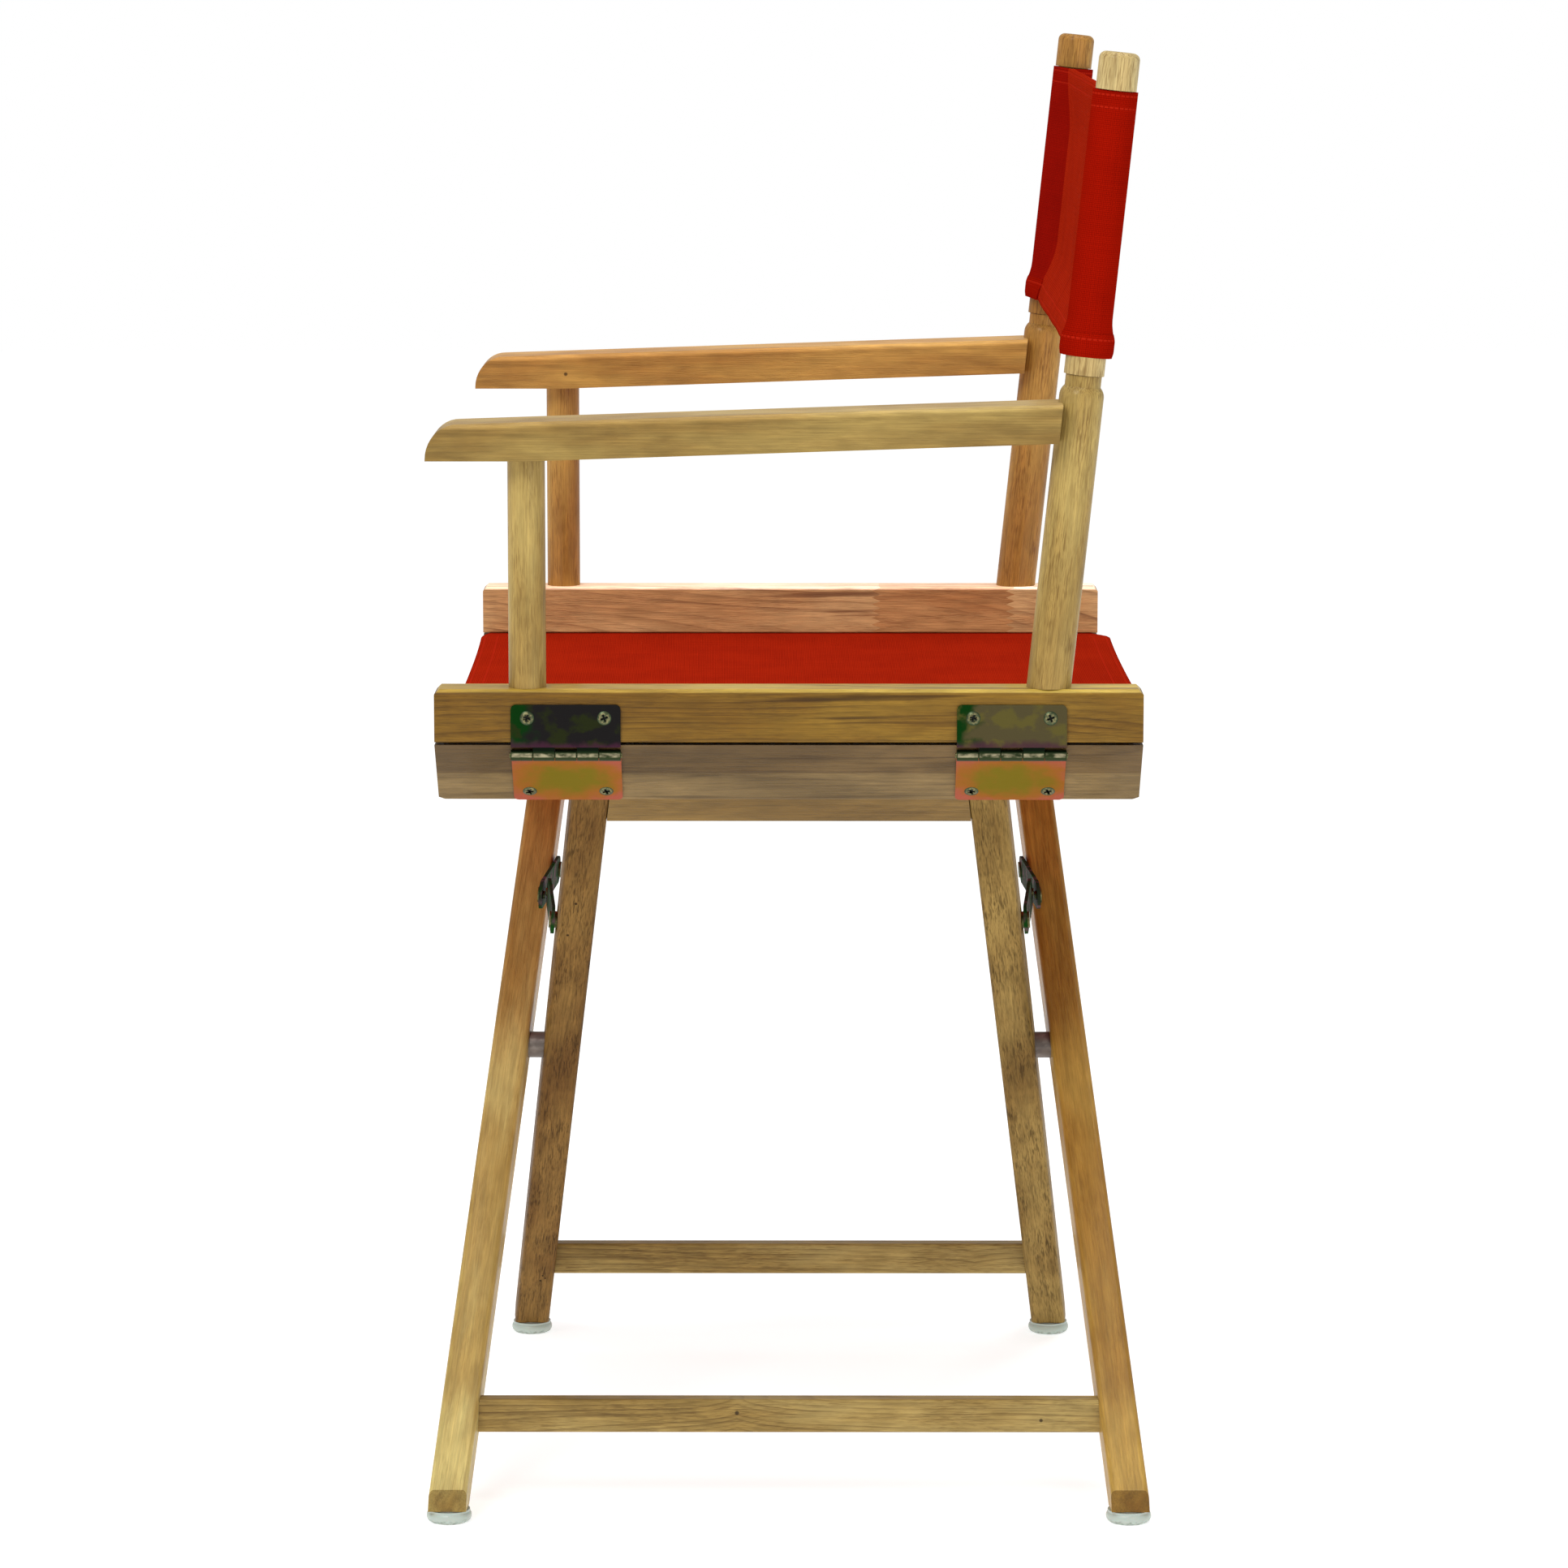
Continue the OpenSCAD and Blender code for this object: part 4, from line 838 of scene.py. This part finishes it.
# %% [markdown]
# The red of the cloth is the weave's two paints, the thread's crown and the hollow between threads. Dyed
# cotton scatters light back warmly at a slant, which a little orange sheen gives. A gloss would show as a
# pale veil on cloth seen edge-on, so the index of refraction is near that of air.

# %% A maker of canvas
CLOTH_LIGHT, CLOTH_SHADE = paint(175, 38, 13), paint(122, 17, 8)
THREAD_RED = paint(190, 40, 22)
# Multipliers that paint shade onto the sleeves and cuffs, the right sleeve a little more
SLEEVE_SHADE_TINT, RIGHT_SLEEVE_SHADE_TINT = paint(232, 160, 150), paint(222, 150, 200)
DUCK = {"Sheen_Weight": 0.03, "Sheen_Roughness": 0.5, "Sheen_Tint": paint(255, 70, 0), "IOR": 1.01}


def canvas(name, rows_up=(), rows_across=(), sleeve_end=0.0, sleeve_shade_tint=SLEEVE_SHADE_TINT):
    """Red duck with stitch rows: rows_up are places on the map's V, and rows_across are places on its U."""
    material, tree, shader = new_material(name, **DUCK)
    place = add(tree, "UVMap", uv_map="cloth").outputs["UV"]
    parts = add(tree, "SeparateXYZ", {0: place}).outputs
    made = use_group(tree, weave, {"UV": place, "Light": CLOTH_LIGHT, "Shade": CLOTH_SHADE})
    colour, height = made["Color"], made["Height"]
    # The sleeve's cloth is painted darker than the panel, a painted shade on the loop round the stick
    in_sleeve = calc(tree, "LESS_THAN", parts[0], sleeve_end)
    colour = blend_colour(tree, in_sleeve, colour, sleeve_shade_tint, "MULTIPLY")
    lines = [(parts[0], parts[1], row) for row in rows_up]
    lines += [(parts[1], parts[0], row) for row in rows_across]
    for along, across, row in lines:
        sewn = use_group(tree, stitches, {"Along": along, "Across": across, "Row": row})
        colour = blend_colour(tree, calc(tree, "MULTIPLY", sewn["Mask"], 0.5), colour, THREAD_RED)
        height = calc(tree, "SUBTRACT", height, calc(tree, "MULTIPLY", sewn["Pucker"], 0.7))
        height = calc(tree, "ADD", height, calc(tree, "MULTIPLY", sewn["Mask"], 0.9))
    fill(tree, shader.inputs["Base Color"], colour)
    fill(tree, shader.inputs["Roughness"], made["Roughness"])
    bump(tree, shader, height, 0.0003, 0.7)
    return material


print("canvas maker ready")


# %% [markdown]
# ## Sewing a strip of cloth
# Each cover is one long strip seen edge-on: a chain of points gives its path round the stick or the dowel,
# and extruding the chain step by step weaves it out to its full width. The chain's length gives the U of
# the cloth's map and the extrusion gives V, so both are true lengths of cloth.

# %% Chains and steps
def chain_lengths(chain):
    totals = [0.0]
    for (ax, ay), (bx, by) in zip(chain, chain[1:]):
        totals.append(totals[-1] + math.hypot(bx - ax, by - ay))
    return totals


def steps(low, high, count):
    return [low + (high - low) * i / count for i in range(count + 1)]


def ramp(value, low, high):
    """0 below low and 1 above high, with a smooth rise between them."""
    share = min(max((value - low) / (high - low), 0.0), 1.0)
    return share * share * (3 - 2 * share)


print("a chain round a unit square is", chain_lengths([(0, 0), (1, 0), (1, 1), (0, 1), (0, 0)])[-1], "long")


# %% The strip maker
def strip(name, chain, stations, place, thickness, material, start=0.0):
    """Extrudes a chain of (u, w) points through the stations, and sends each to place(u, w, station)."""
    bm = bmesh.new()
    length_layer = bm.verts.layers.float.new("length")
    row = [bm.verts.new((u, w, stations[0])) for u, w in chain]
    for vert, length in zip(row, chain_lengths(chain)):
        vert[length_layer] = start + length
    edges = [bm.edges.new(pair) for pair in zip(row, row[1:])]
    for here, there in zip(stations, stations[1:]):
        grown = bmesh.ops.extrude_edge_only(bm, edges=edges)["geom"]
        new_verts = [item for item in grown if isinstance(item, bmesh.types.BMVert)]
        bmesh.ops.translate(bm, vec=(0, 0, there - here), verts=new_verts)
        fresh = set(new_verts)
        edges = [item for item in grown if isinstance(item, bmesh.types.BMEdge)]
        edges = [edge for edge in edges if fresh.issuperset(edge.verts)]
    uv_layer = bm.loops.layers.uv.new("cloth")
    for face in bm.faces:
        face.smooth = True
        for loop in face.loops:
            loop[uv_layer].uv = (loop.vert[length_layer], loop.vert.co.z)
    for vert in bm.verts:
        vert.co = place(*vert.co)
    bmesh.ops.recalc_face_normals(bm, faces=bm.faces)
    mesh = bpy.data.meshes.new(name)
    bm.to_mesh(mesh)
    bm.free()
    piece = bpy.data.objects.new(name, mesh)
    bpy.context.collection.objects.link(piece)
    solid = piece.modifiers.new("thickness", "SOLIDIFY")
    solid.thickness = thickness
    solid.offset = 0
    solid.edge_crease_inner = solid.edge_crease_outer = 1.0
    smooth = piece.modifiers.new("smooth", "SUBSURF")
    smooth.levels = smooth.render_levels = 1
    set_material(piece, material)
    return piece


print("strip maker ready")


# %% [markdown]
# ## The back cover
# The back is one strip whose two ends are sewn into sleeves, and the sleeves drop over the back sticks.
# The canvas pulls on each stick from one side, so the sleeve is a teardrop and not a circle: it hugs the
# stick's outer side and closes at a seam. At the hems the doubled cloth is stiffer and pulls the panel
# forward.

# %% Sizes of the back cover
CLOTH = 0.0012
post_foot = Vector(stick_joint["pos_m"])
cover_low, cover_high = (Vector(corner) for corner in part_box("back_cover_left"))
lean = math.atan2(stick_up.y, stick_up.z)
loop_r = (cover_high.x - post_foot.x) - CLOTH / 2
loop_shift, seam_u, flap_end = 0.0035, 0.038, 0.046
back_bottom = (cover_low.z - post_foot.z) / math.cos(lean) + loop_r * math.tan(lean)
back_top = (cover_high.z - post_foot.z) / math.cos(lean) - loop_r * math.tan(lean)
print("back cover", round(back_top - back_bottom, 4), "m tall, loop radius", round(loop_r, 4))

# %% [markdown]
# The section of the cover is drawn once, across the stick: the turned-in flap, the teardrop round the
# stick from seam to seam, and the flat panel out to the chair's middle. The two halves overlap there by a
# hair, so that no light comes through between them.

# %% The teardrop section
MEET = 0.00015


def teardrop(radius, shift, meet):
    """Points of the loop, from its rear tangent round the outside of the stick to its front tangent."""
    open_angle = math.acos(radius / (meet - shift))
    angles = steps(open_angle, 2 * math.pi - open_angle, 26)
    return [(shift + radius * math.cos(a), radius * math.sin(a)) for a in angles]


loop = teardrop(loop_r, loop_shift, seam_u)
flap = [(flap_end, CLOTH * 1.1), (seam_u + 0.003, CLOTH * 1.05), (seam_u - 0.001, CLOTH * 1.3)]
panel = [(u, 0.0) for u in steps(seam_u, post_foot.x + MEET, 40)]
back_chain = flap + loop + panel
back_lengths = chain_lengths(back_chain)
seam_length = back_lengths[len(flap) + len(loop)]
print("cloth from the flap's edge to the seam:", round(seam_length, 4), "m")

# %% [markdown]
# The section is the same all the way up, and this gives it life: the sleeve is snug on the stick except at
# the bottom hem, both hems pull the panel forward of its belly, and the panel is faintly wavy across.

# %% Shaping the back
SNUG = 0.875
PULL_LOW, PULL_HIGH, BELLY = 0.0095, 0.0055, 0.0015
WAVE, WAVES = 0.0003, 3


def back_place(side):
    """Turns (across from the stick, behind the panel, up the stick) into a place on the chair."""
    def place(u, w, up):
        low, high = up - back_bottom, back_top - up
        snug = SNUG + (1 - SNUG) * (1 - ramp(low, 0.011, 0.017))
        share = snug + (1 - snug) * ramp(u, 0.014, 0.034)
        u, w = u * share, w * share
        on_panel = ramp(u, 0.008, 0.040)
        pull = PULL_LOW * (1 - ramp(low, 0.0, 0.036)) + PULL_HIGH * (1 - ramp(high, 0.0, 0.042)) - BELLY
        wave = WAVE * math.sin(u / post_foot.x * math.pi * WAVES) * on_panel * (1 - ramp(u, 0.20, 0.25))
        behind = w - on_panel * pull + wave
        x = side * (post_foot.x - u)
        y = post_foot.y + up * math.sin(lean) + behind * math.cos(lean)
        z = post_foot.z + up * math.cos(lean) - behind * math.sin(lean)
        return (x, y, z)
    return place


back_middle = back_place(1)(post_foot.x, 0.0, (back_bottom + back_top) / 2)
print("middle of the back:", [round(v, 4) for v in back_middle])

# %% [markdown]
# The cuff is the doubled hem at the foot of each sleeve, a second layer over it. It follows the same
# section, moved outwards by its own thickness, and both its edges turn in so that no gap shows under it.

# %% The cuff's section and shape
cuff_height = 0.0125
CUFF_DROP = 0.0006
TUCK_TOP, TUCK_FOOT = 0.055, 0.045


def outset(chain, amount):
    """Moves a chain sideways by amount, to lie on the outside of the loop."""
    moved = []
    for i, (u, w) in enumerate(chain):
        (au, aw), (bu, bw) = chain[max(i - 1, 0)], chain[min(i + 1, len(chain) - 1)]
        size = math.hypot(bu - au, bw - aw)
        moved.append((u - (bw - aw) / size * amount, w + (bu - au) / size * amount))
    return moved


def cuff_place(side):
    """As back_place, but both edges of the cuff turn in under the sleeve."""
    place = back_place(side)

    def tucked(u, w, up):
        low = up - back_bottom
        tuck = 1 - TUCK_TOP * ramp(low, cuff_height - 0.004, cuff_height)
        tuck -= TUCK_FOOT * (1 - ramp(low, -CUFF_DROP, 0.0025))
        return place(u * tuck, w * tuck, up)
    return tucked


print("cuff:", cuff_height * 1000, "mm tall")

# %% [markdown]
# Each half is three strips: the cover itself, the cuff, and the top hem's second layer behind the panel.
# Rows of stitches lie beside each edge, and one more follows the seam that closes the sleeve. The halves
# ride on their own sticks, so the cover opens like a book when the chair folds and the sticks turn.

# %% Sewing both halves of the back
HEM_ROWS = (0.0025, 0.0095)
back_rows = [back_bottom + inset for inset in HEM_ROWS] + [back_top - inset for inset in HEM_ROWS]
sewn_rows = (0.004, seam_length + 0.004)
back_cloths = {
    "left": canvas("canvas of the left back", back_rows, sewn_rows, seam_length),
    "right": canvas("canvas of the right back", back_rows, sewn_rows, seam_length, RIGHT_SLEEVE_SHADE_TINT),
}
cuff_cloth = canvas("canvas of the cuffs", (back_bottom + HEM_ROWS[1],), (), 1.0)
back_heights = (
    steps(back_bottom, back_bottom + 0.012, 5)[:-1]
    + steps(back_bottom + 0.012, back_top - 0.012, 22)[:-1]
    + steps(back_top - 0.012, back_top, 5)
)
for side, name in ((1, "left"), (-1, "right")):
    stick_body = "back_" + name
    cover = strip("back_canvas_" + name, back_chain, back_heights, back_place(side), CLOTH, back_cloths[name])
    # The cuff starts a little before the loop and ends a little after it
    cuff_chain = outset(back_chain[2:len(flap) + len(loop) + 2], -CLOTH * 0.75)
    cuff_foot = [back_bottom - CUFF_DROP]
    cuff_heights = cuff_foot + steps(back_bottom + CUFF_DROP, back_bottom + cuff_height, 9)
    cuff = strip("back_cuff_" + name, cuff_chain, cuff_heights, cuff_place(side), CLOTH * 1.1, cuff_cloth)
    hem_chain = [(u, w + CLOTH * 1.1) for u, w in panel if u > flap_end]
    top_hem = steps(back_top - 0.0115, back_top + 0.0003, 5)
    cloth = back_cloths[name]
    hem = strip("back_hem_" + name, hem_chain, top_hem, back_place(side), CLOTH, cloth, seam_length)
    for piece in (cover, cuff, hem):
        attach(piece, stick_body)
    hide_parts("back_cover_" + name)

# %% [markdown]
# ## The seat cover
# The seat is slung the same way. Each end has a sleeve round a dowel, the dowel slides into a groove in
# the rail, and the cloth comes out through a slot in the rail's underside and runs level to the other
# rail, with the slight sag of its own weight.

# %% Sizes of the seat cover
dowel_low, dowel_high = (Vector(corner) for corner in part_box("left_seat_dowel"))
rail_low, rail_high = (Vector(corner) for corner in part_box("left_seat_rail"))
seat_high = Vector(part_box("seat_cover_left")[1])
dowel_x = (dowel_low.x + dowel_high.x) / 2
dowel_z = (dowel_low.z + dowel_high.z) / 2
hem_r = (dowel_high.x - dowel_low.x) / 2 + CLOTH * 0.7
slot_x = dowel_x - hem_r + CLOTH * 0.15
under_z = rail_low.z - CLOTH * 0.8
sag = 0.011


def seat_level(x):
    return under_z - sag * (1 - (x / rail_low.x) ** 2)


print("seat sags to z =", round(seat_level(0.0), 4), "from", round(under_z, 4))

# %% [markdown]
# Its section runs from the loop round the dowel, down through the slot, round the slot's edge and out to
# the chair's middle. The loop starts under the dowel, where the sleeve would be sewn shut.

# %% The section of the seat
around = [(dowel_x + hem_r * math.cos(a), dowel_z + hem_r * math.sin(a)) for a in steps(-2.0, math.pi, 16)]
turning = [(slot_x, z) for z in steps(dowel_z - 0.002, rail_low.z + 0.0015, 4)]
corner = [(slot_x - 0.0004, rail_low.z), (slot_x - 0.0014, under_z)]
sheet_x = steps(rail_low.x + 0.0005, -MEET, 30)
seat_chain = around + turning + corner + [(x, seat_level(min(x, rail_low.x))) for x in sheet_x]
seat_lengths = chain_lengths(seat_chain)
print("cloth of half a seat:", round(seat_lengths[-1], 4), "m from the sleeve's seam to the middle")

# %% [markdown]
# The sleeve is a little shorter than the rail. Between the rails the cloth is full width and a touch more,
# and it sits slightly to the rear, more so at the middle than at the rails. The left half gathers in
# early, and the right half stays wide until just before its rail. Near the hems the cloth droops by a
# hair.

# %% Shaping the seat
SLEEVE_SHORTER = 1 - (rail_high.y - 0.004) / seat_high.y
SEAT_BACK, SEAT_SKEW = 0.0063, 0.0030
FLARE, DROOP = 0.022, 0.0022
GATHERS = {1: (0.0, rail_low.x - 0.030), -1: (rail_low.x - 0.006, rail_low.x + 0.001)}


def seat_place(side):
    """Turns (distance from the middle, height, place along the rail) into a place on the chair."""
    def place(u, w, along):
        free = 1 - ramp(u, 0.02, rail_low.x)
        skew = SEAT_BACK - SEAT_SKEW * max(u, 0.0) / rail_low.x
        share = along / seat_high.y
        inside = ramp(u, *GATHERS[side])
        drawn = (1 + FLARE * free * abs(share) ** 3) * (1 - inside * SLEEVE_SHORTER)
        droop = DROOP * free * abs(share) ** 10
        return (side * u, along * drawn + skew * (1 - inside), w - droop)
    return place


print("rear edge at the middle: y =", round(seat_place(1)(0.0, 0.0, seat_high.y)[1], 4))

# %% [markdown]
# Each half is the sheet and two hem bands under it, their places baked into the mesh. The real seat folds
# along its middle, each half turning about its own rail.

# %% Sewing both halves of the seat
seat_rows = [end * (seat_high.y - inset) for end in (-1, 1) for inset in (0.0025, 0.0105)]
seat_cloth = canvas("canvas of the seat", seat_rows)
hem_in = seat_high.y - 0.012
seat_stations = (
    steps(-seat_high.y, -hem_in, 4)[:-1]
    + steps(-hem_in, hem_in, 40)[:-1]
    + steps(hem_in, seat_high.y, 4)
)
for side, name in ((1, "left"), (-1, "right")):
    cover = strip("seat_canvas_" + name, seat_chain, seat_stations, seat_place(side), CLOTH, seat_cloth)
    flat_chain = [(x, seat_level(x) - CLOTH * 1.1) for x in steps(rail_low.x - 0.004, -MEET, 24)]
    hems = []
    for end, end_name in ((-1, "front"), (1, "rear")):
        band = sorted(end * y for y in (hem_in, seat_high.y + 0.0003))
        hem_name = "seat_hem_" + end_name + "_" + name
        hem_start = seat_lengths[-1] - rail_low.x
        hem_steps = steps(*band, 4)
        hem = strip(hem_name, flat_chain, hem_steps, seat_place(side), CLOTH, seat_cloth, hem_start)
        hems.append(hem)
    for piece in (cover, *hems):
        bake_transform(piece)
    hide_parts("seat_cover_" + name)

# %% [markdown]
# ## Floor
# A pale floor shows where the chair stands. It glows a little, so that it stays white beside a white room
# and keeps only the soft shadow under the feet.

# %% Floor
floor_mesh = bpy.data.meshes.new("floor")
floor_bm = bmesh.new()
bmesh.ops.create_grid(floor_bm, x_segments=1, y_segments=1, size=9.0)
floor_bm.to_mesh(floor_mesh)
floor_bm.free()
floor = bpy.data.objects.new("floor", floor_mesh)
bpy.context.collection.objects.link(floor)
FLOOR_PAINT = {
    "Base_Color": (0.72, 0.72, 0.72, 1), "Roughness": 0.9, "Specular_IOR_Level": 0.1,
    "Emission_Color": (1, 1, 1, 1), "Emission_Strength": 0.62,
}
set_material(floor, new_material("floor paint", **FLOOR_PAINT)[0])
print("floor corners:", [tuple(round(v, 1) for v in vert.co) for vert in floor_mesh.vertices])

# %% [markdown]
# ## Light
# Large soft lamps show wood and cloth plainly: a key light from the front of the chair's left side, one
# above, and a weak one from behind. The room itself is white to the camera and dimmer to the chair, so
# that the lamps still shape it.

# %% Light
world = bpy.data.worlds.new("studio")
bpy.context.scene.world = world
world.use_nodes = True
studio = world.node_tree
white = studio.nodes["Background"]
white.inputs["Color"].default_value = (1, 1, 1, 1)
seen_by_camera = add(studio, "LightPath").outputs["Is Camera Ray"]
fill(studio, white.inputs["Strength"], span(studio, seen_by_camera, 0.0, 1.0, 0.55, 1.0))
bpy.context.scene.view_settings.view_transform = "Standard"


def soft_light(name, place, target, size, power):
    light = bpy.data.lights.new(name, "AREA")
    light.energy = power
    light.size = size
    lamp = bpy.data.objects.new(name, light)
    lamp.location = place
    lamp.rotation_euler = (Vector(target) - Vector(place)).to_track_quat("-Z", "Y").to_euler()
    bpy.context.collection.objects.link(lamp)


soft_light("key", (2.2, -1.2, 2.6), (0, 0, 0.5), 1.4, 42)
soft_light("top", (0.2, 0.3, 3.0), (0, 0, 0.4), 1.8, 30)
soft_light("fill", (2.8, 1.8, 1.0), (0, 0, 0.4), 1.6, 8)
print("lamps:", [(lamp.name, lamp.energy) for lamp in bpy.data.lights])

# %% [markdown]
# ## Camera
# The camera has a long lens and stands far away, so that the chair's lines stay nearly parallel. It is a
# little higher than the chair and looks slightly down at its left side.

# %% Camera
camera_data = bpy.data.cameras.new("view")
camera_data.lens = 132.6
camera_data.sensor_width = 36
camera_data.clip_end = 50
camera = bpy.data.objects.new("view", camera_data)
camera.location = (3.49367, 0.00633, 0.9211)
camera.rotation_euler = (math.radians(90 - 8.49), 0, math.radians(90.16))
bpy.context.collection.objects.link(camera)
bpy.context.scene.camera = camera
print("camera:", camera_data.lens, "mm lens at", [round(v, 2) for v in camera.location])
